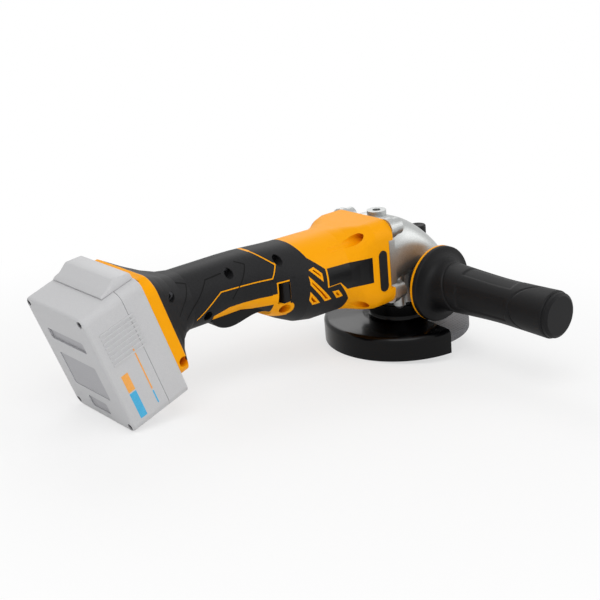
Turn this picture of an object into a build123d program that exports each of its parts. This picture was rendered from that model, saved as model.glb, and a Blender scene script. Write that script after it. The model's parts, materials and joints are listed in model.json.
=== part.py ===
from build123d import *
import os
from math import atan2, cos, degrees, pi, radians, sin, tan

# Cordless paddle-switch angle grinder for a 115 mm disc, lying on its guard rim and pack.
# Tool axes while modelling, in millimetres: X forwards along the motor to the gear head, Y to the
# tool's left, Z up the spindle. The origin is on the spindle axis, at the shoulder the disc clamps to.
# Each finished piece is then turned about Y so that Z is square to the table the tool lies on.

# Spindle, disc and its clamping set
motor_height = 59.0
nose_r = 7.0
nose_length = 21.0
shoulder_r = 9.5
shoulder_t = 4.0
spindle_r = 6.0
journal_r = 4.0
journal_rise = 11.0
journal_top = motor_height + journal_rise
disc_d = 115.0
disc_t = 6.0
disc_depression = 4.6
disc_hub_r = 20.0
disc_slope = 5.0
flange_d = 42.0
flange_t = 5.0
nut_d = 40.0
nut_t = 7.5
nut_pin_hole_r = 2.0
nut_pin_pcd = 30.0
clamp_clearance = 0.1

# Bevel gear pair with its common apex where the motor and spindle axes cross
crown_teeth = 39
pinion_teeth = 11
crown_pitch_r = 18.8
tooth_face = 6.0
tooth_addendum = 0.80
tooth_dedendum = 1.20
tooth_thickness = 0.40
pressure_angle = 22.0
crown_rim_r = 22.3
crown_rim_t = 4.0
crown_drop = 15.0
crown_rim_z = motor_height - crown_drop
crown_hub_r = 9.0
lock_notches = 6
pinion_hub_r = 4.8
pinion_hub_length = 10.0

# Motor
shaft_r = 4.0
shaft_tip_r = 2.5
shaft_rear_r = 3.5
front_bearing_d = 22.0
front_bearing_w = 7.0
rear_bearing_d = 19.0
rear_bearing_w = 6.0
stator_r = 25.0
stator_length = 42.0
stator_bore_r = 14.0
rotor_r = 13.4
stator_slots = 6
coil_overhang = 6.0
fan_r = 28.5
fan_w = 9.0
fan_blades = 11
fan_blade_t = 1.6
baffle_t = 2.0
air_gap = 1.0

# Gear case and bearing cover
case_rear_x = -38.0
case_flange_t = 6.0
case_bottom = 20.0
case_wall = 3.5
gear_gap = 1.2
lobe_spacing = 54.0
lobe_r = 8.5
lobe_depth = 14.0
cover_head_r = 3.0
cover_t = 4.0
collar_r = 25.0
lower_bearing_d = 32.0
lower_bearing_w = 10.0
lower_bearing_z = 6.0
upper_bearing_r = 6.5
upper_bearing_w = 9.0
felt_t = 2.0
handle_x = 1.0
handle_z = 33.4
handle_boss_r = 13.2
handle_boss_y = 34.0
thread_r = 3.4
thread_depth = 10.0
top_boss_x = -21.0
top_boss_r = 8.0
top_boss_rise = 35.0
top_boss_z = motor_height + top_boss_rise
running_gap = 0.05

# Spindle lock
lock_x = 22.5
lock_pin_r = 2.4
lock_cap_x = 25.0
lock_cap_r = 7.0
lock_cap_t = 3.5
lock_cap_rise = 3.5
lock_cap_top = motor_height + lock_cap_rise
lock_travel = 3.0
lock_boss_wall = 2.0
lock_pin_seat = 1.8
lock_pin_rest = 0.8
lock_spring_r = 4.2

# Guard
guard_d = 133.0
guard_wall = 1.6
guard_rim_z = -20.0
guard_arc = 190.0
guard_collar_h = 15.5
band_t = 1.6
band_h = 9.0
band_z = 4.0
band_gap = 7.0
band_lug = 9.0
band_screw_r = 2.0

# Side handle
neck_r = 18.0
neck_ribs = 5
neck_start = 27.6
shield_y = 42.5
shield_r = 31.2
shield_t = 4.0
shield_ring_t = 3.0
grip_bulge_r = 19.5
grip_waist_r = 16.5
grip_end_r = 18.5
side_grip_length = 119.0
end_cap_t = 4.0
stud_r = 4.0
boot_gap = 0.3

# Motor housing and handle, as one outer form
front_square = 71.0
front_corner = 13.0
front_band = 18.0
barrel_d = 66.4
barrel_drop = 0.8
barrel_x = -82.0
shoulder_x = -112.0
grip_w = 45.0
grip_h = 44.5
grip_z = 75.3
grip_x = -178.0
grip_end_x = -222.0
skin_t = 2.2
motor_chamber_r = 27.0
intake_r = 23.0
mount_wall = 3.0
screw_boss_r = 6.5
screw_r = 2.0
screw_head_r = 3.6
screw_head_t = 3.0
screw_seat = 8.0
screw_reach = 9.0
screw_floor = 11.0
foot_screw_floor = 22.0
boss_screw_x = -142.5
boss_screw_z = 49.8
trim_line_w = 1.8
intake_length = 16.0
vent_depth = 16.0

# Foot and pack interface
pack_lean = 17.0
foot_x = -258.5
foot_z = 68.0
foot_w = 78.0
foot_h = 80.0
foot_rise = 4.0
foot_corner = 11.0
foot_band = 8.0
tongue_w = 50.0
tongue_lip = 5.0
tongue_lip_t = 3.0
tongue_neck_t = 4.0
tongue_length = 62.0
slide_gap = 0.4

# Battery pack
pack_w = 79.0
pack_length = 96.0
pack_h = 49.2
pack_corner = 7.0
pack_wall = 2.2
pack_split = 17.0
cell_d = 18.2
cell_length = 65.0
cells_per_row = 5
cell_rows = 2
cell_gap = 0.2
holder_t = 1.8
board_t = 1.6
latch_h = 11.0
latch_t = 3.4
latch_travel = 3.0
latch_arm_y = 29.0
latch_arm_w = 5.0
latch_arm_t = 4.0
latch_v = 34.0
notch_v = 33.0
tooth_reach = 2.2
terminal_l = 12.0
blade_pitch = 12.0
blade_t = 0.8
blade_l = 9.0
contact_l = 11.5
contact_w = 40.0
link_t = 0.4
pack_seam_gap = 0.3
pack_screw_y = 35.0
pack_screw_v = 43.2
pack_screw_r = 1.4
pack_head_r = 2.3
pack_head_t = 2.0

# Paddle, lock-off and switch
paddle_x = -197.0
paddle_z = 64.5
paddle_front = -152.0
paddle_half_w = 16.0
paddle_pin_r = 1.5
paddle_swing = 6.0
paddle_gap = 0.5
paddle_front_gap = 0.8
paddle_nose_gap = 2.7
paddle_rear = -203.5
paddle_top = 59.5
paddle_nose_z = 47.6
paddle_pin_half = 14.0
paddle_spring_x = -171.0
lock_off_x = -143.0
lock_off_t = 6.0
lock_off_z = 64.0
lock_off_h = 16.0
lock_off_travel = 2.5
lock_off_half = 29.0
lock_off_core_h = 9.0
switch_x = -165.0
switch_l = 22.0
switch_w = 17.0
switch_h = 17.0
switch_z = 66.5
plunger_x = -160.0
plunger_r = 2.2
plunger_depth = 5.0
controller_l = 36.0
controller_w = 24.0
controller_h = 17.0
controller_x = -214.0
controller_z = 79.0
wire_way_r = 3.5
wire_way_y = 12.2
wire_way_z = 74.5
lead_r = 1.0
lead_v = 25.0

# Air ways and trim
exhaust_h = 40.0
exhaust_w = 4.5
pad_h = 34.0
pad_w = 8.6
pad_t = 1.4
pad_x = -50.0
pad_z = 56.0
pad_proud = 0.5
vent_rim = 1.7

# Places that follow from the sizes above
apex = Vector(0, 0, motor_height)
crown_cone = degrees(atan2(crown_teeth, pinion_teeth))
pinion_cone = 90 - crown_cone
cone_distance = crown_pitch_r / sin(radians(crown_cone))
tooth_module = 2 * crown_pitch_r / crown_teeth
inner_scale = (cone_distance - tooth_face) / cone_distance
pinion_pitch_r = crown_pitch_r * pinion_teeth / crown_teeth
front_bearing_x = case_rear_x
fan_x = case_rear_x - 4.0 - fan_w
baffle_x = fan_x - air_gap - baffle_t
stator_front = baffle_x - coil_overhang - air_gap
stator_rear = stator_front - stator_length
rear_bearing_x = stator_rear - coil_overhang - air_gap - rear_bearing_w
chamber_rear = rear_bearing_x + rear_bearing_w
disc_hub_top = -flange_t
disc_ring_top = disc_hub_top - disc_depression
lean = radians(pack_lean)
up_pack = Vector(-sin(lean), 0, cos(lean))
into_foot = Vector(cos(lean), 0, sin(lean))
foot_plane = Plane(origin=(foot_x, 0, foot_z), x_dir=(0, 1, 0), z_dir=into_foot)
pack_edge = Vector(foot_x, 0, foot_z) - up_pack * (pack_length / 2) - into_foot * pack_h
joint_screws = (
    (-242.8, 90.2, foot_screw_floor),
    (-246.0, 46.0, foot_screw_floor),
    (-209.7, 64.2, screw_floor),
    (-186.6, 89.4, screw_floor),
    (-142.8, 87.8, screw_floor),
    (boss_screw_x, boss_screw_z, screw_floor),
)
rim_rear = Vector(-guard_d / 2, 0, guard_rim_z)
stance = degrees(atan2(pack_edge.Z - rim_rear.Z, rim_rear.X - pack_edge.X))


def across(x, z=motor_height):
    # Plane square to the motor axis: its x runs to the tool's left and its y runs up
    return Plane(origin=(x, 0, z), x_dir=(0, 1, 0), z_dir=(1, 0, 0))


def sideways(y, x=0.0, z=0.0):
    # Plane square to the tool's side, facing left: its x runs forwards and its y runs down
    return Plane(origin=(x, y, z), x_dir=(1, 0, 0), z_dir=(0, 1, 0))


def on_pack(w, v=0.0):
    # Plane parallel to the pack's interface, w into the foot and v up along the pack
    return Plane(origin=foot_plane.from_local_coords((0, v, w)), x_dir=(0, 1, 0), z_dir=into_foot)


def save(builder, name):
    # Lays the tool down on its guard rim and pack, then writes the piece
    piece = builder.part.rotate(Axis.Y, -stance)
    piece.label = name
    export_step(piece, f"parts/{name}.step")


def bearing(name, plane, bore_r, outer_r, width):
    # Shielded ball bearing: two rings, with the shields set back between them
    race = (outer_r - bore_r) / 3
    with BuildPart() as ring:
        with BuildSketch(plane):
            Circle(outer_r)
            Circle(bore_r, mode=Mode.SUBTRACT)
        extrude(amount=width)
        for face_plane, way in ((plane, 1), (plane.offset(width), -1)):
            with BuildSketch(face_plane):
                Circle(outer_r - race)
                Circle(bore_r + race, mode=Mode.SUBTRACT)
            extrude(amount=way * width / 10, mode=Mode.SUBTRACT)
    save(ring, name)


def coil_spring(name, plane, inner_r, outer_r, length):
    # Small compression spring, as the sleeve its closed coils fill
    with BuildPart() as spring:
        with BuildSketch(plane):
            Circle(outer_r)
            Circle(inner_r, mode=Mode.SUBTRACT)
        extrude(amount=length)
    save(spring, name)


def bevel_tooth(cone, pitch_r, teeth, turn):
    # One straight tooth about the Z axis under the apex at the origin, tapering towards the apex
    slope = radians(cone)
    reach = pitch_r / sin(slope)
    pitch = 2 * pi * pitch_r / teeth
    root = tooth_dedendum * tooth_module + 0.3
    tip = tooth_addendum * tooth_module
    flank = tan(radians(pressure_angle))
    with BuildPart() as tooth:
        for scale in (1.0, inner_scale):
            middle = Vector(reach * scale * sin(slope), 0, -reach * scale * cos(slope))
            face = Plane(origin=middle, x_dir=(0, 1, 0), z_dir=(sin(slope), 0, -cos(slope)))
            half = tooth_thickness * pitch / 2 * scale
            foot = half + root * flank * scale
            crest = half - tip * flank * scale
            with BuildSketch(face):
                with BuildLine():
                    Polyline(
                        (-foot, -root * scale),
                        (foot, -root * scale),
                        (crest, tip * scale),
                        (-crest, tip * scale),
                        close=True,
                    )
                make_face()
        loft(ruled=True)
    return tooth.part.rotate(Axis.Z, turn)


def half_section(plane, w, h, r):
    # Right half of a rounded rectangle
    with BuildSketch(plane) as section:
        RectangleRounded(w, h, r)
        with Locations((w, 0)):
            Rectangle(2 * w, 2 * h, mode=Mode.SUBTRACT)
    return section.sketch


def ease(start, end, share):
    # Smooth change from one size to another
    return start + (end - start) * share * share * (3 - 2 * share)


def right_form(inset):
    # Right half of the motor barrel, grip and foot as one body, drawn inwards by the inset
    barrel_r = 0.47 * barrel_d
    grip_r = 0.44 * min(grip_w, grip_h)
    trim = 2 * inset
    sections = []
    square = front_square - trim
    for x in (case_rear_x, case_rear_x - front_band):
        sections.append(half_section(across(x), square, square, front_corner - inset))
    for step in range(1, 4):
        share = step / 3
        side = ease(front_square, barrel_d, share) - trim
        x = case_rear_x - front_band + (barrel_x - case_rear_x + front_band) * share
        plane = across(x, motor_height + barrel_drop * share)
        sections.append(half_section(plane, side, side, ease(front_corner, barrel_r, share) - inset))
    for step in range(6):
        share = step / 5
        plane = across(
            shoulder_x + (grip_x - shoulder_x) * share,
            ease(motor_height + 2 * barrel_drop, grip_z, share),
        )
        w = ease(barrel_d, grip_w, share) - trim
        h = ease(barrel_d, grip_h, share) - trim
        sections.append(half_section(plane, w, h, ease(barrel_r, grip_r, share) - inset))
    foot_start = foot_plane.from_local_coords((0, foot_rise, foot_band))
    for step in range(5):
        share = step / 4
        tilt = lean * share
        plane = Plane(
            origin=Vector(grip_end_x, 0, grip_z) * (1 - share) + foot_start * share,
            x_dir=(0, 1, 0),
            z_dir=(cos(tilt), 0, sin(tilt)),
        )
        w = grip_w + (foot_w - grip_w) * share * share - trim
        h = grip_h + (foot_h - grip_h) * share * share - trim
        sections.append(half_section(plane, w, h, grip_r + (foot_corner - grip_r) * share - inset))
    sections.append(half_section(on_pack(0, foot_rise), foot_w - trim, foot_h - trim, foot_corner - inset))
    with BuildPart() as form:
        loft(sections, ruled=True)
    return form.part


os.makedirs("parts", exist_ok=True)

# Spindle: threaded nose, clamping shoulder, bearing seat, gear seat and upper journal
with BuildPart() as spindle:
    with BuildSketch(Plane.XZ):
        with BuildLine():
            Polyline(
                (0, -nose_length),
                (nose_r - 1.0, -nose_length),
                (nose_r, 1.0 - nose_length),
                (nose_r, 0),
                (shoulder_r, 0),
                (shoulder_r, shoulder_t),
                (spindle_r, shoulder_t),
                (spindle_r, motor_height - 8.0),
                (journal_r, motor_height - 7.0),
                (journal_r, journal_top),
                (0, journal_top),
                close=True,
            )
        make_face()
    revolve(axis=Axis.Z)
save(spindle, "spindle")

# Crown wheel: hub, notched lock rim and a ring of straight bevel teeth
pitch_z = motor_height - cone_distance * cos(radians(crown_cone))
crown_slope = radians(crown_cone)
root_depth = tooth_dedendum * tooth_module
root_r = crown_pitch_r - root_depth * cos(crown_slope)
root_z = pitch_z - root_depth * sin(crown_slope)
with BuildPart() as crown_gear:
    with BuildSketch(Plane.XZ):
        with BuildLine():
            Polyline(
                (spindle_r, crown_rim_z - 2.0),
                (crown_hub_r, crown_rim_z - 2.0),
                (crown_hub_r, crown_rim_z),
                (crown_rim_r, crown_rim_z),
                (crown_rim_r, crown_rim_z + crown_rim_t),
                (root_r, crown_rim_z + crown_rim_t),
                (root_r, root_z),
                (root_r * inner_scale, motor_height - (motor_height - root_z) * inner_scale),
                (root_r * inner_scale - 1.5, root_z - 1.0),
                (spindle_r, root_z - 1.0),
                close=True,
            )
        make_face()
    revolve(axis=Axis.Z)
    with BuildSketch(Plane.XY.offset(crown_rim_z)):
        with PolarLocations(lock_x, lock_notches):
            Circle(lock_pin_r + 0.4)
    extrude(amount=crown_rim_t, mode=Mode.SUBTRACT)
    crown_tooth = bevel_tooth(crown_cone, crown_pitch_r, crown_teeth, 0)
    with Locations(apex):
        with PolarLocations(0, crown_teeth):
            add(crown_tooth)
save(crown_gear, "crown_gear")

# Pinion: its teeth start half a pitch round, so that a tooth sits in the crown's gap behind the spindle
pinion_root_r = pinion_pitch_r - root_depth * cos(radians(pinion_cone))
pinion_root_x = crown_pitch_r + root_depth * sin(radians(pinion_cone))
crown_phase = (180.0 * crown_teeth / 360.0) % 1.0
pinion_turn = 360.0 / pinion_teeth * (0.5 + crown_phase)
with BuildPart() as pinion_blank:
    with BuildSketch(Plane.XZ):
        with BuildLine():
            Polyline(
                (0, -pinion_root_x * inner_scale),
                (pinion_root_r * inner_scale, -pinion_root_x * inner_scale),
                (pinion_root_r, -pinion_root_x),
                (pinion_hub_r, -pinion_root_x),
                (pinion_hub_r, -pinion_root_x - pinion_hub_length),
                (shaft_tip_r, -pinion_root_x - pinion_hub_length),
                (shaft_tip_r, -pinion_root_x - 1.0),
                (0, -pinion_root_x - 1.0),
                close=True,
            )
        make_face()
    revolve(axis=Axis.Z)
    pinion_tooth = bevel_tooth(pinion_cone, pinion_pitch_r, pinion_teeth, pinion_turn)
    with PolarLocations(0, pinion_teeth):
        add(pinion_tooth)
motor_way = Plane(origin=apex, x_dir=(0, 0, -1), z_dir=(1, 0, 0))
with BuildPart() as pinion:
    add(motor_way.location * pinion_blank.part)
save(pinion, "pinion")

# Motor: shaft, magnet rotor, wound stator, cooling fan, air baffle and bearings
motor_axis = Axis(apex, (1, 0, 0))
motor_side = Plane(origin=apex, x_dir=(1, 0, 0), z_dir=(0, -1, 0))
hub_rear = -pinion_root_x - pinion_hub_length
with BuildPart() as rotor_shaft:
    with BuildSketch(motor_side):
        with BuildLine():
            Polyline(
                (rear_bearing_x, 0),
                (rear_bearing_x, shaft_rear_r),
                (chamber_rear + 0.5, shaft_rear_r),
                (chamber_rear + 0.5, shaft_r),
                (hub_rear, shaft_r),
                (hub_rear, shaft_tip_r),
                (-pinion_root_x - 1.5, shaft_tip_r),
                (-pinion_root_x - 1.5, 0),
                close=True,
            )
        make_face()
    revolve(axis=motor_axis)
save(rotor_shaft, "rotor_shaft")

with BuildPart() as rotor_core:
    with BuildSketch(across(stator_rear)):
        Circle(rotor_r)
        Circle(shaft_r, mode=Mode.SUBTRACT)
        with PolarLocations(rotor_r, 4):
            Rectangle(1.6, 2.4, mode=Mode.SUBTRACT)
    extrude(amount=stator_length)
save(rotor_core, "rotor_core")

slot_w = 7.0
slot_depth = stator_r - stator_bore_r - 4.0
slot_r = stator_bore_r + slot_depth / 2
with BuildPart() as stator_core:
    with BuildSketch(across(stator_rear)):
        Circle(stator_r)
        Circle(stator_bore_r, mode=Mode.SUBTRACT)
        with PolarLocations(slot_r, stator_slots):
            Rectangle(slot_depth + 0.6, slot_w, mode=Mode.SUBTRACT)
    extrude(amount=stator_length)
save(stator_core, "stator_core")

with BuildPart() as stator_coils:
    with BuildSketch(across(stator_rear - coil_overhang)):
        with PolarLocations(slot_r + 0.3, stator_slots):
            RectangleRounded(slot_depth - 0.4, slot_w, 1.5)
    extrude(amount=stator_length + 2 * coil_overhang)
save(stator_coils, "stator_coils")

with BuildPart() as fan:
    with BuildSketch(across(fan_x)):
        Circle(2 * shaft_r)
    extrude(amount=fan_w)
    with BuildSketch(across(fan_x + fan_w - 1.5)):
        Circle(fan_r)
    extrude(amount=1.5)
    with BuildSketch(across(fan_x)):
        with PolarLocations(fan_r * 0.62, fan_blades):
            Rectangle(fan_r * 0.72, fan_blade_t, rotation=25)
    extrude(amount=fan_w - 1.5)
    with BuildSketch(across(fan_x)):
        Circle(shaft_r)
    extrude(amount=fan_w, mode=Mode.SUBTRACT)
save(fan, "fan")

fan_chamber_r = fan_r + 2.5
with BuildPart() as air_baffle:
    with BuildSketch(across(baffle_x)):
        Circle(fan_chamber_r)
        Circle(fan_r * 0.66, mode=Mode.SUBTRACT)
    extrude(amount=baffle_t)
save(air_baffle, "air_baffle")

front_bore_r = shaft_r + running_gap
rear_bore_r = shaft_rear_r + running_gap
bearing("front_bearing", across(front_bearing_x), front_bore_r, front_bearing_d / 2, front_bearing_w)
bearing("rear_bearing", across(rear_bearing_x), rear_bore_r, rear_bearing_d / 2, rear_bearing_w)

# Gear case: cast flange with screw lobes, sloped nose, handle bosses and the gear chamber
chamber_r = crown_rim_r + gear_gap
rim_top = crown_rim_z + crown_rim_t
tooth_top = motor_height - (motor_height - pitch_z) * inner_scale + tooth_addendum * tooth_module
heel_top = pitch_z + tooth_addendum * tooth_module
ceiling = tooth_top + gear_gap
tier_top = crown_rim_z - 3.0
tier_r = chamber_r + case_wall
screw_ring_r = collar_r + guard_wall + cover_head_r + 0.7
cap_floor = lock_cap_top - lock_cap_t
well_floor = cap_floor - lock_travel - 0.2
lock_boss_top = cap_floor - 0.5
with BuildPart() as gear_case:
    with BuildSketch(across(case_rear_x)):
        RectangleRounded(lobe_spacing + 8.0, lobe_spacing + 8.0, 14.0)
        with GridLocations(lobe_spacing, lobe_spacing, 2, 2):
            Circle(lobe_r)
    extrude(amount=case_flange_t)
    with BuildSketch(across(case_rear_x)):
        with GridLocations(lobe_spacing, lobe_spacing, 2, 2):
            Circle(lobe_r - 1.5)
    extrude(amount=lobe_depth)
    with BuildSketch(across(case_rear_x + 2.0)):
        RectangleRounded(60.0, 60.0, 22.0)
    with BuildSketch(across(-14.0, motor_height + 3.0)):
        RectangleRounded(62.0, 54.0, 22.0)
    with BuildSketch(across(6.0, motor_height - 2.0)):
        RectangleRounded(60.0, 40.0, 17.0)
    with BuildSketch(across(24.0, motor_height - 10.5)):
        RectangleRounded(50.0, 23.0, 10.0)
    with BuildSketch(across(37.0, motor_height - 15.0)):
        RectangleRounded(26.0, 13.0, 6.0)
    loft()
    with BuildSketch(Plane.XY.offset(case_bottom)):
        Circle(tier_r)
        with PolarLocations(screw_ring_r, 4, start_angle=45):
            Circle(5.0)
    extrude(amount=tier_top - case_bottom + 2.0)
    with BuildSketch(sideways(-handle_boss_y, handle_x, handle_z)):
        Circle(handle_boss_r)
    extrude(amount=2 * handle_boss_y)
    for side in (-1, 1):
        with BuildSketch(sideways(side * (neck_start - boot_gap), handle_x, handle_z)):
            Circle(neck_r + 0.6)
            Circle(handle_boss_r, mode=Mode.SUBTRACT)
        extrude(amount=side * 10.0, mode=Mode.SUBTRACT)
    with BuildSketch(Plane((top_boss_x, 0, motor_height + 20.0))):
        Circle(top_boss_r)
    extrude(amount=top_boss_z - motor_height - 20.0)
    with BuildSketch(Plane((lock_cap_x, 0, rim_top))):
        Circle(lock_cap_r + 0.3 + lock_boss_wall)
    extrude(amount=lock_boss_top - rim_top)
    # Gear chamber, open below for the bearing cover
    with BuildSketch(Plane.XY.offset(case_bottom)):
        Circle(chamber_r)
    extrude(amount=rim_top + gear_gap - case_bottom, mode=Mode.SUBTRACT)
    with BuildSketch(Plane.XY.offset(rim_top)):
        Circle(crown_pitch_r + gear_gap)
    extrude(amount=heel_top + 0.8 - rim_top, mode=Mode.SUBTRACT)
    with BuildSketch(Plane.XY.offset(rim_top)):
        Circle(lock_cap_x - lock_cap_r - 0.8)
    extrude(amount=ceiling - rim_top, mode=Mode.SUBTRACT)
    with BuildSketch(Plane.XY.offset(ceiling)):
        Circle(journal_r + 1.0)
    extrude(amount=3.0, mode=Mode.SUBTRACT)
    with BuildSketch(Plane.XY.offset(ceiling + 3.0)):
        Circle(upper_bearing_r)
    extrude(amount=upper_bearing_w + 1.0, mode=Mode.SUBTRACT)
    # Pinion tunnel and motor bearing seat
    with BuildSketch(across(case_rear_x)):
        Circle(front_bearing_d / 2)
    extrude(amount=front_bearing_w, mode=Mode.SUBTRACT)
    with BuildSketch(across(case_rear_x + front_bearing_w)):
        Circle(pinion_pitch_r + 2.2)
    extrude(amount=-case_rear_x - front_bearing_w - 10.0, mode=Mode.SUBTRACT)
    # Lock button well, pin guide and room beside the gear for the pin
    with BuildSketch(Plane((lock_cap_x, 0, well_floor))):
        Circle(lock_cap_r + 0.3)
    extrude(amount=20.0, mode=Mode.SUBTRACT)
    with BuildSketch(Plane((lock_x, 0, crown_rim_z - 2.0))):
        Circle(lock_pin_r + 0.4)
    extrude(amount=rim_top + gear_gap - crown_rim_z + 2.0, mode=Mode.SUBTRACT)
    with BuildSketch(Plane((lock_x, 0, rim_top))):
        Circle(lock_pin_r + running_gap)
    extrude(amount=well_floor - rim_top, mode=Mode.SUBTRACT)
    # Tapped holes: side handle right and left, handle on top, housing screws and cover screws
    with BuildSketch(sideways(-handle_boss_y, handle_x, handle_z)):
        Circle(thread_r)
    extrude(amount=thread_depth, mode=Mode.SUBTRACT)
    with BuildSketch(sideways(handle_boss_y, handle_x, handle_z)):
        Circle(thread_r)
    extrude(amount=-thread_depth, mode=Mode.SUBTRACT)
    with BuildSketch(Plane((top_boss_x, 0, top_boss_z))):
        Circle(thread_r)
    extrude(amount=-thread_depth, mode=Mode.SUBTRACT)
    with BuildSketch(across(case_rear_x)):
        with GridLocations(lobe_spacing, lobe_spacing, 2, 2):
            Circle(screw_r)
    extrude(amount=lobe_depth - 2.0, mode=Mode.SUBTRACT)
    with BuildSketch(Plane.XY.offset(case_bottom)):
        with PolarLocations(screw_ring_r, 4, start_angle=45):
            Circle(screw_r)
    extrude(amount=11.0, mode=Mode.SUBTRACT)
save(gear_case, "gear_case")

# Bearing cover: lobed plate under the gear case, spigot, and the collar the guard turns on
collar_bottom = 1.0
with BuildPart() as bearing_cover:
    with BuildSketch(Plane.XY.offset(case_bottom - cover_t)):
        Circle(tier_r)
        with PolarLocations(screw_ring_r, 4, start_angle=45):
            Circle(5.0)
    extrude(amount=cover_t)
    with BuildSketch(Plane.XY.offset(case_bottom)):
        Circle(chamber_r)
    extrude(amount=4.0)
    with BuildSketch(Plane.XY.offset(collar_bottom)):
        Circle(collar_r)
    extrude(amount=case_bottom - cover_t - collar_bottom)
    with BuildSketch(Plane.XY.offset(lower_bearing_z)):
        Circle(lower_bearing_d / 2)
    extrude(amount=case_bottom + 4.0 - lower_bearing_z, mode=Mode.SUBTRACT)
    with BuildSketch(Plane.XY.offset(collar_bottom)):
        Circle(shoulder_r + 0.6)
    extrude(amount=lower_bearing_z - collar_bottom, mode=Mode.SUBTRACT)
    with BuildSketch(Plane.XY.offset(case_bottom - cover_t)):
        with PolarLocations(screw_ring_r, 4, start_angle=45):
            Circle(screw_r)
    extrude(amount=cover_t, mode=Mode.SUBTRACT)
save(bearing_cover, "bearing_cover")

lower_seat = Plane.XY.offset(lower_bearing_z)
upper_seat = Plane.XY.offset(ceiling + 3.0)
bearing("lower_bearing", lower_seat, spindle_r + running_gap, lower_bearing_d / 2, lower_bearing_w)
bearing("upper_bearing", upper_seat, journal_r + running_gap, upper_bearing_r, upper_bearing_w)

with BuildPart() as dust_felt:
    with BuildSketch(Plane.XY.offset(lower_bearing_z - felt_t + 0.3)):
        Circle(shoulder_r + 0.6)
        Circle(spindle_r + 0.3, mode=Mode.SUBTRACT)
    extrude(amount=felt_t - 0.3)
save(dust_felt, "dust_felt")

with BuildPart() as spindle_spacer:
    with BuildSketch(Plane.XY.offset(lower_bearing_z + lower_bearing_w + 0.2)):
        Circle(spindle_r + 2.0)
        Circle(spindle_r, mode=Mode.SUBTRACT)
    extrude(amount=crown_rim_z - 2.0 - lower_bearing_z - lower_bearing_w - 0.2)
save(spindle_spacer, "spindle_spacer")

# Spindle lock: round push button, its pin and return spring
with BuildPart() as lock_button:
    with BuildSketch(Plane((lock_cap_x, 0, cap_floor))):
        Circle(lock_cap_r)
    extrude(amount=lock_cap_t)
    fillet(lock_button.faces().sort_by(Axis.Z)[-1].edges(), 1.2)
    with BuildSketch(Plane((lock_x, 0, cap_floor))):
        Circle(lock_pin_r)
    extrude(amount=lock_pin_seat, mode=Mode.SUBTRACT)
save(lock_button, "lock_button")

with BuildPart() as lock_pin:
    with BuildSketch(Plane((lock_x, 0, rim_top + lock_pin_rest))):
        Circle(lock_pin_r)
    extrude(amount=cap_floor + lock_pin_seat - rim_top - lock_pin_rest)
    chamfer(lock_pin.faces().sort_by(Axis.Z)[0].edges(), 0.5)
save(lock_pin, "lock_pin")

spring_seat = Plane((lock_x, 0, well_floor))
coil_spring("lock_spring", spring_seat, lock_pin_r + 0.4, lock_spring_r, cap_floor - well_floor)

# Disc clamping set: inner flange, depressed-centre grinding disc and pin-hole lock nut
with BuildPart() as inner_flange:
    with BuildSketch(Plane.XZ):
        with BuildLine():
            Polyline(
                (nose_r, 0),
                (flange_d / 2 - 3.0, 0),
                (flange_d / 2, -2.0),
                (flange_d / 2, -flange_t),
                (flange_d / 2 - 6.0, -flange_t),
                (flange_d / 2 - 6.5, -flange_t + 0.6),
                (11.0, -flange_t + 0.6),
                (11.0, -flange_t - 2.5),
                (nose_r, -flange_t - 2.5),
                close=True,
            )
        make_face()
    revolve(axis=Axis.Z)
save(inner_flange, "inner_flange")

with BuildPart() as grinding_disc:
    with BuildSketch(Plane.XZ):
        with BuildLine():
            Polyline(
                (11.0 + clamp_clearance, disc_hub_top),
                (disc_hub_r, disc_hub_top),
                (disc_hub_r + disc_slope, disc_ring_top),
                (disc_d / 2 - 0.8, disc_ring_top),
                (disc_d / 2, disc_ring_top - 0.8),
                (disc_d / 2, disc_ring_top - disc_t),
                (disc_hub_r + disc_slope - 1.5, disc_ring_top - disc_t),
                (disc_hub_r - 1.5, disc_hub_top - disc_t),
                (11.0 + clamp_clearance, disc_hub_top - disc_t),
                close=True,
            )
        make_face()
    revolve(axis=Axis.Z)
save(grinding_disc, "grinding_disc")

nut_top = disc_hub_top - disc_t
with BuildPart() as lock_nut:
    with BuildSketch(Plane.XZ):
        with BuildLine():
            Polyline(
                (nose_r, nut_top),
                (nut_d / 2 - 2.0, nut_top),
                (nut_d / 2 - 2.0, nut_top - 3.0),
                (nut_d / 2 - 8.0, nut_top - nut_t),
                (nose_r, nut_top - nut_t),
                close=True,
            )
        make_face()
    revolve(axis=Axis.Z)
    with BuildSketch(Plane.XY.offset(nut_top - nut_t)):
        with PolarLocations(nut_pin_pcd / 2 - 4.5, 4):
            Circle(nut_pin_hole_r)
    extrude(amount=nut_t - 2.0, mode=Mode.SUBTRACT)
save(lock_nut, "lock_nut")

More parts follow.
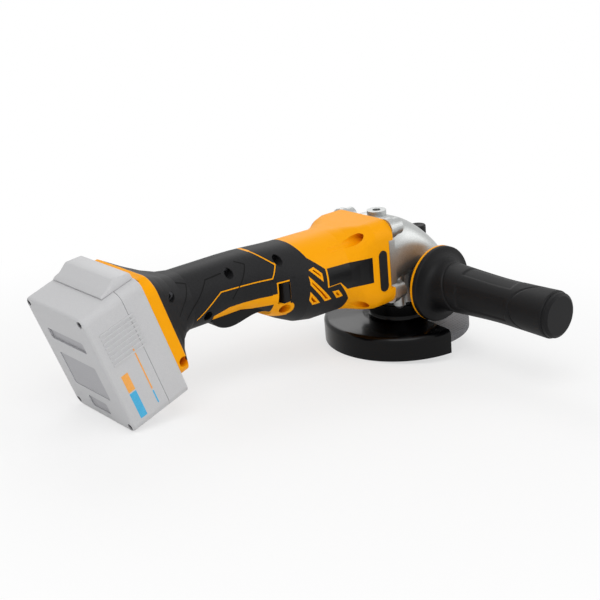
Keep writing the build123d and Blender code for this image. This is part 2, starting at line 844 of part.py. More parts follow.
# Guard: pressed half-round skirt and top plate with a full collar, clamped by a split band
guard_start = radians(180 - guard_arc / 2)
guard_plane = Plane(
    origin=(0, 0, 0),
    x_dir=(cos(guard_start), sin(guard_start), 0),
    z_dir=(sin(guard_start), -cos(guard_start), 0),
)
guard_r = guard_d / 2
guard_bore_r = collar_r + running_gap
with BuildPart() as guard:
    with BuildSketch(guard_plane):
        with BuildLine():
            Polyline(
                (guard_bore_r + 1.0, 0),
                (guard_r, 0),
                (guard_r, guard_rim_z),
                (guard_r - guard_wall, guard_rim_z),
                (guard_r - guard_wall, -guard_wall),
                (guard_bore_r + 1.0, -guard_wall),
                close=True,
            )
        make_face()
        fillet(vertices().sort_by(Axis.X)[-2:].sort_by(Axis.Y)[-1:], 3.5)
    revolve(axis=Axis.Z, revolution_arc=guard_arc)
    with BuildSketch(Plane.XY.offset(-guard_wall)):
        Circle(guard_bore_r + 8.0)
    extrude(amount=guard_wall)
    with BuildSketch(Plane.XY.offset(-guard_wall)):
        Circle(guard_bore_r + guard_wall)
    extrude(amount=guard_collar_h + guard_wall)
    with BuildSketch(Plane.XY.offset(-guard_wall)):
        Circle(guard_bore_r)
    extrude(amount=guard_collar_h + guard_wall, mode=Mode.SUBTRACT)
save(guard, "guard")

band_inner_r = guard_bore_r + guard_wall
band_angle = 40.0
with BuildPart() as band_blank:
    with BuildSketch(Plane.XY.offset(band_z)):
        Circle(band_inner_r + band_t)
        with Locations((band_inner_r + band_lug / 2, 0)):
            Rectangle(band_lug, band_gap + 4.0)
        Circle(band_inner_r, mode=Mode.SUBTRACT)
        with Locations((band_inner_r + band_lug / 2, 0)):
            Rectangle(band_lug + 6.0, band_gap, mode=Mode.SUBTRACT)
    extrude(amount=band_h)
    with BuildSketch(sideways(-band_gap, band_inner_r + band_lug - 3.5, band_z + band_h / 2)):
        Circle(band_screw_r + 0.1)
    extrude(amount=2 * band_gap, mode=Mode.SUBTRACT)
with BuildPart() as guard_band:
    add(band_blank.part.rotate(Axis.Z, band_angle))
save(guard_band, "guard_band")

with BuildPart() as band_screw_blank:
    with BuildSketch(sideways(-band_gap / 2 - 4.0, band_inner_r + band_lug - 3.5, band_z + band_h / 2)):
        Circle(band_screw_r)
    extrude(amount=band_gap + 8.0)
    with BuildSketch(sideways(-band_gap / 2 - 2.0, band_inner_r + band_lug - 3.5, band_z + band_h / 2)):
        Circle(band_screw_r + 1.5)
        RegularPolygon(1.6, 6, mode=Mode.SUBTRACT)
    extrude(amount=-3.0)
    with BuildSketch(sideways(band_gap / 2 + 2.0, band_inner_r + band_lug - 3.5, band_z + band_h / 2)):
        RegularPolygon(band_screw_r + 1.9, 6)
    extrude(amount=2.6)
with BuildPart() as band_screw:
    add(band_screw_blank.part.rotate(Axis.Z, band_angle))
save(band_screw, "band_screw")

# Side handle on the right: ribbed boot over the boss, yellow ring, shield and grip, stud and end cap
side_axis = Axis((handle_x, 0, handle_z), (0, -1, 0))
side_plane = Plane(origin=(handle_x, 0, handle_z), x_dir=(0, -1, 0), z_dir=(1, 0, 0))
boot_bore = handle_boss_r + boot_gap
boot_seat = handle_boss_y + boot_gap
rib_pitch = (shield_y - neck_start) / neck_ribs
rib_depth = 2.4
with BuildPart() as handle_boot:
    with BuildSketch(side_plane):
        with BuildLine():
            ribs = []
            for rib in range(neck_ribs):
                start = neck_start + rib * rib_pitch
                ribs.append((start, neck_r - rib_depth))
                ribs.append((start + 0.3 * rib_pitch, neck_r))
                ribs.append((start + 0.7 * rib_pitch, neck_r))
            Polyline(
                *ribs,
                (shield_y, neck_r - rib_depth),
                (shield_y, stud_r),
                (boot_seat, stud_r),
                (boot_seat, boot_bore),
                (neck_start, boot_bore),
                close=True,
            )
        make_face()
    revolve(axis=side_axis)
save(handle_boot, "handle_boot")

with BuildPart() as handle_ring:
    with BuildSketch(side_plane):
        with BuildLine():
            Polyline(
                (shield_y, stud_r),
                (shield_y, shield_r - 1.0),
                (shield_y + 1.0, shield_r),
                (shield_y + shield_ring_t, shield_r),
                (shield_y + shield_ring_t, stud_r),
                close=True,
            )
        make_face()
    revolve(axis=side_axis)
save(handle_ring, "handle_ring")

grip_start = shield_y + shield_ring_t
grip_end = grip_start + side_grip_length
stud_end = grip_start + 40.0
with BuildPart() as side_grip:
    with BuildSketch(side_plane):
        with BuildLine():
            rim = Line((grip_start, stud_r), (grip_start, shield_r))
            edge = Line(rim @ 1, (grip_start + shield_t, shield_r))
            swell = Spline(
                edge @ 1,
                (grip_start + 3.0 * shield_t, grip_bulge_r + 1.5),
                (grip_start + 0.22 * side_grip_length, grip_bulge_r),
                (grip_start + 0.6 * side_grip_length, grip_waist_r + 1.0),
                (grip_end - 1.5, grip_end_r),
                tangents=((0.3, -1.0), (1.0, 0.05)),
            )
            tail = Line(swell @ 1, (grip_end, grip_end_r - 1.0))
            face_line = Line(tail @ 1, (grip_end, 0))
            core_line = Line(face_line @ 1, (stud_end, 0))
            bore_end = Line(core_line @ 1, (stud_end, stud_r))
            Line(bore_end @ 1, rim @ 0)
        make_face()
    revolve(axis=side_axis)
save(side_grip, "side_grip")

with BuildPart() as handle_cap:
    with BuildSketch(side_plane):
        with BuildLine():
            Polyline(
                (grip_end, 0),
                (grip_end, grip_end_r - 1.0),
                (grip_end + 0.6 * end_cap_t, grip_end_r - 1.2),
                (grip_end + end_cap_t, grip_end_r - 3.5),
                (grip_end + end_cap_t, 0),
                close=True,
            )
        make_face()
    revolve(axis=side_axis)
save(handle_cap, "handle_cap")

with BuildPart() as handle_stud:
    with BuildSketch(side_plane):
        with BuildLine():
            Polyline(
                (handle_boss_y - thread_depth + 0.5, 0),
                (handle_boss_y - thread_depth + 0.5, thread_r),
                (handle_boss_y, thread_r),
                (handle_boss_y, stud_r),
                (stud_end, stud_r),
                (stud_end, 0),
                close=True,
            )
        make_face()
    revolve(axis=side_axis)
save(handle_stud, "handle_stud")

# Housing: the outer form, with a soft cover set into its skin over the rear barrel and grip
def side_zone(points):
    # Prism from the middle plane out to the right, drawn in side view
    with BuildPart() as zone:
        with BuildSketch(Plane.XZ):
            with BuildLine():
                Polyline(*points, close=True)
            make_face()
        extrude(amount=foot_w)
    return zone.part


def side_box(x0, x1, half_w, z0, z1):
    # Box centred on the tool's middle plane
    with BuildPart() as block:
        with Locations(((x0 + x1) / 2, 0, (z0 + z1) / 2)):
            Box(x1 - x0, 2 * half_w, z1 - z0)
    return block.part


def side_round(x, z, r, y0, y1):
    # Cylinder across the tool
    with BuildPart() as pin:
        with BuildSketch(sideways(y0, x, z)):
            Circle(r)
        extrude(amount=y1 - y0)
    return pin.part


def along_motor(x0, x1, r, y=0.0, z=motor_height):
    # Cylinder along the motor axis
    with BuildPart() as rod:
        with BuildSketch(across(x0, z)):
            with Locations((y, 0)):
                Circle(r)
        extrude(amount=x1 - x0)
    return rod.part


def seam_point(v, w):
    # Place in side view given on the pack's interface
    place = foot_plane.from_local_coords((0, v, w))
    return (place.X, place.Z)


right_skin = right_form(0)
right_core = right_form(skin_t)

vent_a = ((-121.5, 76.0), (-116.5, 77.0), (-110.4, 70.6), (-110.4, 64.0))
vent_b = ((-123.0, 71.8), (-122.6, 64.6), (-109.3, 47.5), (-102.6, 47.5))
vent_c = ((-123.4, 59.6), (-124.6, 53.0), (-121.0, 47.8), (-114.0, 47.8))
vent_d = ((-102.4, 53.8), (-95.8, 53.2), (-90.6, 46.4), (-97.1, 46.4))
vents = (vent_a, vent_b, vent_c, vent_d)

with BuildPart() as cover_zone:
    add(
        side_zone(
            (
                (-124.0, 130.0),
                (-124.0, 100.0),
                (-118.5, 84.0),
                (-106.5, 73.0),
                (-106.5, 58.0),
                (-94.0, 58.0),
                (-83.5, 42.0),
                (-83.5, 0.0),
                seam_point(-70.0, foot_band + 1.0),
                seam_point(60.0, foot_band + 1.0),
            )
        )
    )
    with BuildSketch(Plane.XZ):
        with BuildLine():
            Polyline((-166.0, 104.0), (-146.9, 86.0), (-152.8, 77.2), (-197.6, 79.3), (-219.6, 63.9))
        trace(line_width=trim_line_w)
    extrude(amount=foot_w, mode=Mode.SUBTRACT)
    add(
        side_zone(
            (
                (-204.0, 62.0),
                (-190.5, 65.2),
                (-154.0, 64.2),
                (-154.0, 75.0),
                (-139.0, 74.5),
                (-136.0, 70.0),
                (-136.0, 44.0),
                (-152.0, 40.0),
                (-152.0, 56.0),
                (-204.0, 56.0),
            )
        ),
        mode=Mode.SUBTRACT,
    )
    add(side_round(boss_screw_x, boss_screw_z, screw_boss_r, -foot_w, 0), mode=Mode.SUBTRACT)
    for vent in vents:
        add(side_zone(vent), mode=Mode.SUBTRACT)
    add(right_core, mode=Mode.SUBTRACT)

pocket_top = switch_z
lever_arm = plunger_x - paddle_x
plunger_travel = lever_arm * radians(paddle_swing)
slot_rear = lock_off_x - lock_off_t / 2 - lock_off_travel - 0.5
slot_front = lock_off_x + lock_off_t / 2 + 0.4
ear_half_w = 10.0
switch_rear = switch_x - switch_l / 2
switch_front = switch_x + switch_l / 2
controller_front = controller_x + controller_l / 2
with BuildPart() as hollows:
    # Fan and motor chambers with the stator's support ribs, rear bearing seat and air intake
    add(along_motor(baffle_x, case_rear_x, fan_chamber_r))
    add(along_motor(chamber_rear, baffle_x, stator_r))
    add(along_motor(chamber_rear, stator_rear + 4.0, motor_chamber_r))
    add(along_motor(stator_rear + 8.0, stator_front - 8.0, motor_chamber_r))
    add(along_motor(stator_front - 4.0, baffle_x, motor_chamber_r))
    with BuildSketch(across(chamber_rear - intake_length)):
        Circle(intake_r)
        Circle(rear_bearing_d / 2 + mount_wall, mode=Mode.SUBTRACT)
    extrude(amount=intake_length)
    add(along_motor(rear_bearing_x, chamber_rear, rear_bearing_d / 2))
    # Vents in, exhaust slots out, and recesses for the side pads
    for vent in vents:
        with BuildSketch(Plane.XZ.offset(vent_depth)):
            with BuildLine():
                Polyline(*vent, close=True)
            make_face()
            offset(amount=-vent_rim, kind=Kind.INTERSECTION)
        extrude(amount=foot_w / 2)
    with Locations((case_rear_x - exhaust_w / 2, -31.0, motor_height)):
        Box(exhaust_w, 18.0, exhaust_h)
    with BuildSketch(sideways(pad_t - front_square / 2, pad_x, pad_z)):
        SlotOverall(pad_h, pad_w, rotation=90)
    extrude(amount=-5.0)
    # Screw channels from behind to the gear case lobes
    with BuildSketch(across(case_rear_x - screw_seat)):
        with GridLocations(lobe_spacing, lobe_spacing, 2, 2):
            Circle(screw_head_r + 0.6)
    extrude(amount=-50.0)
    with BuildSketch(across(case_rear_x)):
        with GridLocations(lobe_spacing, lobe_spacing, 2, 2):
            Circle(screw_r + 0.1)
    extrude(amount=-screw_seat)
    # Paddle slot and its narrow ear slot, lock-off slot
    with BuildSketch(Plane.XZ):
        with BuildLine():
            Polyline(
                (paddle_rear - paddle_gap, 30.0),
                (paddle_front + paddle_nose_gap, 30.0),
                (paddle_front + paddle_front_gap, pocket_top),
                (switch_x - switch_l / 2, pocket_top),
                (paddle_rear - paddle_gap, paddle_top + 1.2),
                close=True,
            )
        make_face()
    extrude(amount=paddle_half_w + paddle_gap, both=True)
    ear_slot_half = ear_half_w + paddle_gap
    add(side_box(paddle_rear - paddle_gap, paddle_x + 6.0, ear_slot_half, paddle_top, paddle_z + 4.4))
    slot_half_h = lock_off_h / 2 + 0.3
    add(side_box(slot_rear, slot_front, foot_w / 2, lock_off_z - slot_half_h, lock_off_z + slot_half_h))
    # Switch, controller and wire ways
    add(side_box(switch_rear, switch_front, switch_w / 2, switch_z, switch_z + switch_h))
    add(
        side_box(
            controller_x - controller_l / 2,
            controller_x + controller_l / 2,
            controller_w / 2,
            controller_z - controller_h / 2,
            controller_z + controller_h / 2,
        )
    )
    add(side_box(controller_front, switch_rear, 5.0, wire_way_z - 3.0, wire_way_z + 3.0))
    with BuildSketch(Plane.XZ):
        with BuildLine():
            Polyline(
                seam_point(lead_v - 4.0, 0),
                seam_point(lead_v + 4.0, 0),
                (controller_x - controller_l / 2, controller_z + controller_h / 2),
                (controller_x - controller_l / 2, controller_z),
                close=True,
            )
        make_face()
    extrude(amount=8.0, both=True)
    # Latch notch in the foot's face, open at its upper edge, and the paddle pin's seat
    with BuildSketch(on_pack(0)):
        with Locations((-latch_arm_y, (notch_v + foot_h) / 2)):
            Rectangle(latch_arm_w + 1.2, foot_h - notch_v)
    extrude(amount=tooth_reach + 0.6)
    add(side_round(paddle_x, paddle_z, paddle_pin_r, -paddle_pin_half, paddle_pin_half))

with BuildPart() as right_hard:
    add(right_skin)
    add(cover_zone.part, mode=Mode.SUBTRACT)
    add(hollows.part, mode=Mode.SUBTRACT)
with BuildPart() as right_soft:
    add(right_skin)
    add(cover_zone.part, mode=Mode.INTERSECT)
    add(hollows.part, mode=Mode.SUBTRACT)

# Screws enter from the right; their threads and the motor's wire way are in the left half
with BuildPart() as right_cuts:
    for x, z, floor in joint_screws:
        add(side_round(x, z, screw_head_r + 0.3, -foot_w, -floor))
        add(side_round(x, z, screw_r, -floor, 0))
with BuildPart() as left_cuts:
    for x, z, floor in joint_screws:
        add(side_round(x, z, screw_r, 0, screw_reach))
    add(along_motor(controller_front, chamber_rear - intake_length, wire_way_r, wire_way_y, wire_way_z))

with BuildPart() as housing_right:
    add(right_hard.part)
    add(right_cuts.part, mode=Mode.SUBTRACT)
save(housing_right, "housing_right")

with BuildPart() as housing_left:
    add(mirror(right_hard.part, about=Plane.XZ, mode=Mode.PRIVATE))
    add(left_cuts.part, mode=Mode.SUBTRACT)
save(housing_left, "housing_left")

with BuildPart() as grip_cover_right:
    add(right_soft.part)
    add(right_cuts.part, mode=Mode.SUBTRACT)
save(grip_cover_right, "grip_cover_right")

with BuildPart() as grip_cover_left:
    add(mirror(right_soft.part, about=Plane.XZ, mode=Mode.PRIVATE))
save(grip_cover_left, "grip_cover_left")

with BuildPart() as side_pads:
    for side in (-1, 1):
        with BuildSketch(sideways(side * (front_square / 2 - pad_t), pad_x, pad_z)):
            SlotOverall(pad_h - 0.2, pad_w - 0.2, rotation=90)
        extrude(amount=side * (pad_t + pad_proud))
save(side_pads, "side_pads")

with BuildPart() as housing_screws:
    for x, z, floor in joint_screws:
        add(side_round(x, z, screw_head_r, -floor - screw_head_t, -floor))
        add(side_round(x, z, screw_r, -floor, screw_reach))
        with BuildSketch(sideways(-floor - screw_head_t, x, z)):
            RegularPolygon(1.8, 6)
        extrude(amount=1.6, mode=Mode.SUBTRACT)
save(housing_screws, "housing_screws")

with BuildPart() as case_screws:
    with BuildSketch(across(case_rear_x - screw_seat)):
        with GridLocations(lobe_spacing, lobe_spacing, 2, 2):
            Circle(screw_head_r)
            RegularPolygon(1.8, 6, mode=Mode.SUBTRACT)
    extrude(amount=-screw_head_t)
    with BuildSketch(across(case_rear_x - screw_seat)):
        with GridLocations(lobe_spacing, lobe_spacing, 2, 2):
            Circle(screw_r)
    extrude(amount=screw_seat + lobe_depth - 3.0)
    with BuildSketch(Plane.XY.offset(case_bottom - cover_t)):
        with PolarLocations(screw_ring_r, 4, start_angle=45):
            Circle(screw_r)
    extrude(amount=cover_t + 10.0)
    with BuildSketch(Plane.XY.offset(case_bottom - cover_t)):
        with PolarLocations(screw_ring_r, 4, start_angle=45):
            Circle(cover_head_r)
            RegularPolygon(1.6, 6, mode=Mode.SUBTRACT)
    extrude(amount=-2.4)
save(case_screws, "case_screws")

# Paddle switch: paddle with hinge ear, pin and return spring, sliding lock-off, switch and controller
with BuildPart() as paddle:
    with BuildSketch(Plane.XZ):
        with BuildLine():
            underside = Spline(
                (paddle_rear, paddle_top - 3.5),
                (paddle_rear + 7.0, paddle_nose_z + 2.0),
                (paddle_rear + 16.0, paddle_nose_z),
                (paddle_x + 0.55 * (paddle_front - paddle_x), paddle_nose_z + 2.2),
                (paddle_front, paddle_nose_z + 0.8),
            )
            front_line = Line(underside @ 1, (paddle_front, paddle_top))
            top_line = Line(front_line @ 1, (paddle_rear, paddle_top))
            Line(top_line @ 1, underside @ 0)
        make_face()
    extrude(amount=paddle_half_w, both=True)
    fillet(paddle.edges().group_by(SortBy.LENGTH)[-1], 1.0)
    with BuildSketch(Plane.XZ):
        with BuildLine():
            Polyline(
                (paddle_x - 3.5, paddle_top - 2.0),
                (paddle_x + 3.5, paddle_top - 2.0),
                (paddle_x + 3.5, paddle_z + 2.0),
                (paddle_x + 2.0, paddle_z + 3.5),
                (paddle_x - 2.0, paddle_z + 3.5),
                (paddle_x - 3.5, paddle_z + 2.0),
                close=True,
            )
        make_face()
    extrude(amount=ear_half_w, both=True)
    pin_bore = side_round(paddle_x, paddle_z, paddle_pin_r + running_gap, -ear_half_w, ear_half_w)
    add(pin_bore, mode=Mode.SUBTRACT)
save(paddle, "paddle")

with BuildPart() as paddle_pin:
    add(side_round(paddle_x, paddle_z, paddle_pin_r, -paddle_pin_half, paddle_pin_half))
save(paddle_pin, "paddle_pin")

coil_spring("paddle_spring", Plane((paddle_spring_x, 0, paddle_top)), 1.4, 2.6, switch_z - paddle_top)

with BuildPart() as switch_body:
    add(side_box(switch_rear, switch_front, switch_w / 2, switch_z, switch_z + switch_h))
    with BuildSketch(Plane((plunger_x, 0, switch_z))):
        Circle(plunger_r + running_gap)
    extrude(amount=plunger_depth + plunger_travel + 0.5, mode=Mode.SUBTRACT)
save(switch_body, "switch_body")

with BuildPart() as switch_plunger:
    with BuildSketch(Plane((plunger_x, 0, paddle_top + paddle_gap))):
        Circle(plunger_r)
    extrude(amount=switch_z + plunger_depth - paddle_top - paddle_gap)
    fillet(switch_plunger.faces().sort_by(Axis.Z)[0].edges(), 0.8)
save(switch_plunger, "switch_plunger")

with BuildPart() as lock_off:
    with Locations((lock_off_x, 0, lock_off_z)):
        Box(lock_off_t, 2 * lock_off_half, lock_off_core_h)
    for side in (-1, 1):
        with Locations((lock_off_x, side * (lock_off_half - 5.0), lock_off_z)):
            Box(lock_off_t, 10.0, lock_off_h)
    fillet(lock_off.faces().sort_by(Axis.Y)[0].edges() + lock_off.faces().sort_by(Axis.Y)[-1].edges(), 1.2)
save(lock_off, "lock_off")

coil_spring("lock_off_spring", across(slot_rear, lock_off_z), 1.4, 2.6, lock_off_travel + 0.5)

with BuildPart() as controller:
    add(
        side_box(
            controller_x - controller_l / 2,
            controller_x + controller_l / 2,
            controller_w / 2,
            controller_z - controller_h / 2,
            controller_z + controller_h / 2,
        )
    )
    with BuildSketch(Plane((controller_x, 0, controller_z + controller_h / 2))):
        with GridLocations(0, controller_w / 6, 1, 5):
            Rectangle(controller_l, controller_w / 12)
    extrude(amount=-4.0, mode=Mode.SUBTRACT)
save(controller, "controller")

lead_start = foot_plane.from_local_coords((0, lead_v, 0))
lead_stop = Vector(controller_x - controller_l / 2, 0, controller_z + 0.3 * controller_h)
with BuildPart() as wiring:
    for side in (-1, 1):
        shift = Vector(0, side * 4.0, 0)
        with BuildSketch(Plane(origin=lead_start + shift, z_dir=lead_stop - lead_start)):
            Circle(lead_r)
        extrude(amount=(lead_stop - lead_start).length)
    with BuildSketch(on_pack(0)):
        Rectangle(foot_w, 2 * foot_h)
    extrude(amount=-20.0, mode=Mode.SUBTRACT)
    add(side_box(controller_x - controller_l / 2, controller_x, 20.0, 0.0, 120.0), mode=Mode.SUBTRACT)
    for lead in (-1, 0, 1):
        add(
            along_motor(
                controller_x + controller_l / 2,
                stator_rear - coil_overhang,
                lead_r,
                wire_way_y + lead * 2.2,
                wire_way_z + abs(lead) * 0.6,
            )
        )
    for side in (-1, 1):
        add(along_motor(controller_front, switch_rear, lead_r, side * 2.5, wire_way_z))
save(wiring, "wiring")

# Pack rail on the foot, terminal block and blades
rail_depth = tongue_neck_t + tongue_lip_t
rail_low = -tongue_length / 2
rail_high = tongue_length / 2
block_low = rail_high - terminal_l


def rail_profile(low, high, gap, top):
    # T-shaped bar along the pack, from the foot's face outwards
    with BuildPart() as bar:
        with BuildSketch(on_pack(top, (low + high) / 2)):
            Rectangle(tongue_w - 2 * tongue_lip + 2 * gap, high - low)
        extrude(amount=-(tongue_neck_t - gap + top))
        with BuildSketch(on_pack(gap - tongue_neck_t, (low + high) / 2)):
            Rectangle(tongue_w + 2 * gap, high - low)
        extrude(amount=-(tongue_lip_t + 2 * gap))
    return bar.part


with BuildPart() as pack_rail:
    add(rail_profile(rail_low, block_low, 0, 0))
save(pack_rail, "pack_rail")

with BuildPart() as terminal_blades:
    with BuildSketch(on_pack(-rail_depth / 2, rail_high)):
        with GridLocations(blade_pitch, 0, 3, 1):
            Rectangle(blade_t, 2 * blade_l)
    extrude(amount=2.0, both=True)
with BuildPart() as terminal_block:
    add(rail_profile(block_low, rail_high, 0, 0))
    add(terminal_blades.part, mode=Mode.SUBTRACT)
save(terminal_block, "terminal_block")
save(terminal_blades, "terminal_blades")

# Battery pack: upper and lower case, ten cells with end holders and links, board, contacts and latch
half_l = pack_length / 2
cavity_top = -rail_depth - 2 * slide_gap - 2.2
cavity_bottom = pack_wall - pack_h
row_pitch = cell_d + cell_gap
low_row = cavity_bottom + cell_d / 2 + cell_gap
mid_row = low_row + row_pitch / 2
column_pitch = (pack_length - 2 * pack_wall - cell_d - cell_gap) / (cells_per_row - 1)
bay_low = rail_high + slide_gap
bay_high = rail_high + contact_l
pack_middle = foot_plane.from_local_coords((0, 0, mid_row))


def pack_block(w0, w1, inset, corner):
    # Rounded block of the pack between two depths below the interface
    with BuildPart() as block:
        with BuildSketch(on_pack(w1)):
            RectangleRounded(pack_w - 2 * inset, pack_length - 2 * inset, corner)
        extrude(amount=w0 - w1)
    return block.part


with BuildPart() as latch:
    for side in (-1, 1):
        with BuildSketch(on_pack(-pack_seam_gap - latch_arm_t)):
            with Locations((side * latch_arm_y, (latch_v + half_l) / 2)):
                Rectangle(latch_arm_w, half_l + 0.6 - latch_v)
        extrude(amount=latch_arm_t - 0.2)
        with BuildSketch(Plane(origin=(0, side * latch_arm_y, 0), x_dir=(1, 0, 0), z_dir=(0, -1, 0))):
            with BuildLine():
                Polyline(
                    seam_point(latch_v, -latch_arm_t / 2),
                    seam_point(latch_v, tooth_reach),
                    seam_point(latch_v + 1.0, tooth_reach),
                    seam_point(latch_v + 5.0, -latch_arm_t / 2),
                    close=True,
                )
            make_face()
        extrude(amount=latch_arm_w / 2, both=True)
    with BuildSketch(on_pack(-pack_seam_gap - 1.5)):
        with Locations((0, half_l + 0.3 + latch_t / 2)):
            RectangleRounded(2 * latch_arm_y + latch_arm_w, latch_t, 1.4)
    extrude(amount=-latch_h)
save(latch, "release_latch")

with BuildPart() as latch_springs:
    for side in (-1, 1):
        with BuildSketch(on_pack(-pack_seam_gap - latch_arm_t)):
            with Locations((side * latch_arm_y, latch_v + 2.5)):
                Circle(1.8)
                Circle(1.0, mode=Mode.SUBTRACT)
        extrude(amount=-latch_travel - 0.4)
save(latch_springs, "latch_springs")

with BuildPart() as pack_upper:
    add(pack_block(-pack_seam_gap, -pack_split, 0, pack_corner))
    add(rail_profile(-half_l - 1.0, bay_low, slide_gap, 0), mode=Mode.SUBTRACT)
    with BuildSketch(on_pack(-pack_seam_gap - 0.6, (bay_low + bay_high) / 2)):
        Rectangle(contact_w, bay_high - bay_low)
    extrude(amount=0.6 - rail_depth, mode=Mode.SUBTRACT)
    with BuildSketch(on_pack(cavity_top)):
        RectangleRounded(pack_w - 2 * pack_wall, pack_length - 2 * pack_wall, pack_corner - pack_wall)
    extrude(amount=-pack_split, mode=Mode.SUBTRACT)
    for side in (-1, 1):
        with BuildSketch(on_pack(0)):
            with Locations((side * latch_arm_y, (latch_v - 0.6 + half_l + 4.0) / 2)):
                Rectangle(latch_arm_w + 0.8, half_l + 4.6 - latch_v)
        extrude(amount=-pack_seam_gap - latch_arm_t - latch_travel - 0.4, mode=Mode.SUBTRACT)
    with BuildSketch(on_pack(-pack_split)):
        with GridLocations(2 * pack_screw_y, 2 * pack_screw_v, 2, 2):
            Circle(pack_screw_r + 1.0)
    extrude(amount=cavity_top + pack_split)
    with BuildSketch(on_pack(-pack_split)):
        with GridLocations(2 * pack_screw_y, 2 * pack_screw_v, 2, 2):
            Circle(pack_screw_r)
    extrude(amount=5.0, mode=Mode.SUBTRACT)
save(pack_upper, "pack_upper")

with BuildPart() as pack_lower:
    add(pack_block(-pack_split, -pack_h, 0, pack_corner))
    with BuildSketch(on_pack(-pack_split)):
        RectangleRounded(pack_w - 2 * pack_wall, pack_length - 2 * pack_wall, pack_corner - pack_wall)
    extrude(amount=cavity_bottom + pack_split, mode=Mode.SUBTRACT)
    with BuildSketch(on_pack(-pack_h)):
        with GridLocations(2 * pack_screw_y, 2 * pack_screw_v, 2, 2):
            Circle(pack_screw_r + 1.0)
    extrude(amount=pack_h - pack_split)
    add(pack_block(-pack_split, -pack_h, 0, pack_corner), mode=Mode.INTERSECT)
    with BuildSketch(on_pack(-pack_h)):
        RectangleRounded(pack_w - 24.0, pack_length - 30.0, 3.0)
    extrude(amount=0.8, mode=Mode.SUBTRACT)
    with BuildSketch(on_pack(-pack_h)):
        with GridLocations(2 * pack_screw_y, 2 * pack_screw_v, 2, 2):
            Circle(pack_head_r + 0.2)
    extrude(amount=pack_head_t, mode=Mode.SUBTRACT)
    with BuildSketch(on_pack(-pack_h)):
        with GridLocations(2 * pack_screw_y, 2 * pack_screw_v, 2, 2):
            Circle(pack_screw_r)
    extrude(amount=pack_h - pack_split, mode=Mode.SUBTRACT)
save(pack_lower, "pack_lower")


def beside_cells(side, y):
    # Plane at one end of the cells, facing outwards, its x up along the pack
    return Plane(origin=pack_middle + Vector(0, side * y, 0), x_dir=up_pack, z_dir=(0, side, 0))


with BuildPart() as cells:
    for row in range(cell_rows):
        for column in range(cells_per_row):
            v = (column - (cells_per_row - 1) / 2) * column_pitch
            place = foot_plane.from_local_coords((0, v, low_row + row * row_pitch))
            add(side_round(place.X, place.Z, cell_d / 2, -cell_length / 2, cell_length / 2))
save(cells, "cells")

with BuildPart() as cell_holders:
    for side in (-1, 1):
        with BuildSketch(beside_cells(side, cell_length / 2)):
            RectangleRounded(2 * pack_screw_v - 5.6, cell_rows * row_pitch - 0.4, 2.0)
            with GridLocations(column_pitch, row_pitch, cells_per_row, cell_rows):
                Circle(0.19 * cell_d, mode=Mode.SUBTRACT)
        extrude(amount=holder_t)
save(cell_holders, "cell_holders")

link_y = cell_length / 2 + holder_t
with BuildPart() as cell_links:
    for side in (-1, 1):
        with BuildSketch(beside_cells(side, link_y)):
            with GridLocations(column_pitch, 0, cells_per_row, 1):
                RectangleRounded(0.4 * column_pitch, 2 * row_pitch - 8.0, 2.0)
        extrude(amount=link_t)
save(cell_links, "cell_links")

with BuildPart() as pack_board:
    with BuildSketch(beside_cells(1, link_y + link_t)):
        RectangleRounded(pack_length - 20.0, 1.5 * row_pitch, 2.0)
    extrude(amount=board_t)
save(pack_board, "pack_board")

with BuildPart() as pack_contacts:
    with BuildSketch(on_pack(-pack_seam_gap - 0.6, (bay_low + bay_high) / 2)):
        Rectangle(contact_w, bay_high - bay_low)
    extrude(amount=0.6 - rail_depth)
    with BuildSketch(on_pack(0, bay_low)):
        with GridLocations(blade_pitch, 0, 3, 1):
            Rectangle(blade_t + 2 * slide_gap, 2 * (blade_l + 1.0))
    extrude(amount=-2 * rail_depth, mode=Mode.SUBTRACT)
save(pack_contacts, "pack_contacts")

with BuildPart() as pack_screws:
    with BuildSketch(on_pack(-pack_h + pack_head_t)):
        with GridLocations(2 * pack_screw_y, 2 * pack_screw_v, 2, 2):
            Circle(pack_screw_r)
    extrude(amount=pack_h - pack_split - pack_head_t + 4.0)
    with BuildSketch(on_pack(-pack_h + pack_head_t)):
        with GridLocations(2 * pack_screw_y, 2 * pack_screw_v, 2, 2):
            Circle(pack_head_r)
            RegularPolygon(1.2, 6, mode=Mode.SUBTRACT)
    extrude(amount=0.6 - pack_head_t)
save(pack_screws, "pack_screws")
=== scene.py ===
import json
import math

import bmesh
import bpy
import numpy as np
from mathutils import Matrix, Vector


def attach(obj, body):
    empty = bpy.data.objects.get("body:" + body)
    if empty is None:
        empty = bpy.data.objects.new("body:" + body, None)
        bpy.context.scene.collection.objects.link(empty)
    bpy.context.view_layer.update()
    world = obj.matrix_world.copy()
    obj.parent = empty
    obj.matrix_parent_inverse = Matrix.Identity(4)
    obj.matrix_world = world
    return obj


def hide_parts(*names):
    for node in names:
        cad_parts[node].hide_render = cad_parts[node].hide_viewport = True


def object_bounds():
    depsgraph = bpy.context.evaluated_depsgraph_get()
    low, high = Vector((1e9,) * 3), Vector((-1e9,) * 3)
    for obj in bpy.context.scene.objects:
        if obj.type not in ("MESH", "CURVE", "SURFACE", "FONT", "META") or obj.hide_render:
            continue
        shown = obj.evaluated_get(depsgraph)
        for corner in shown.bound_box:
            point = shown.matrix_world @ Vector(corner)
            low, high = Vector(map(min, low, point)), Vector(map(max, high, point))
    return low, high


mm = 0.001
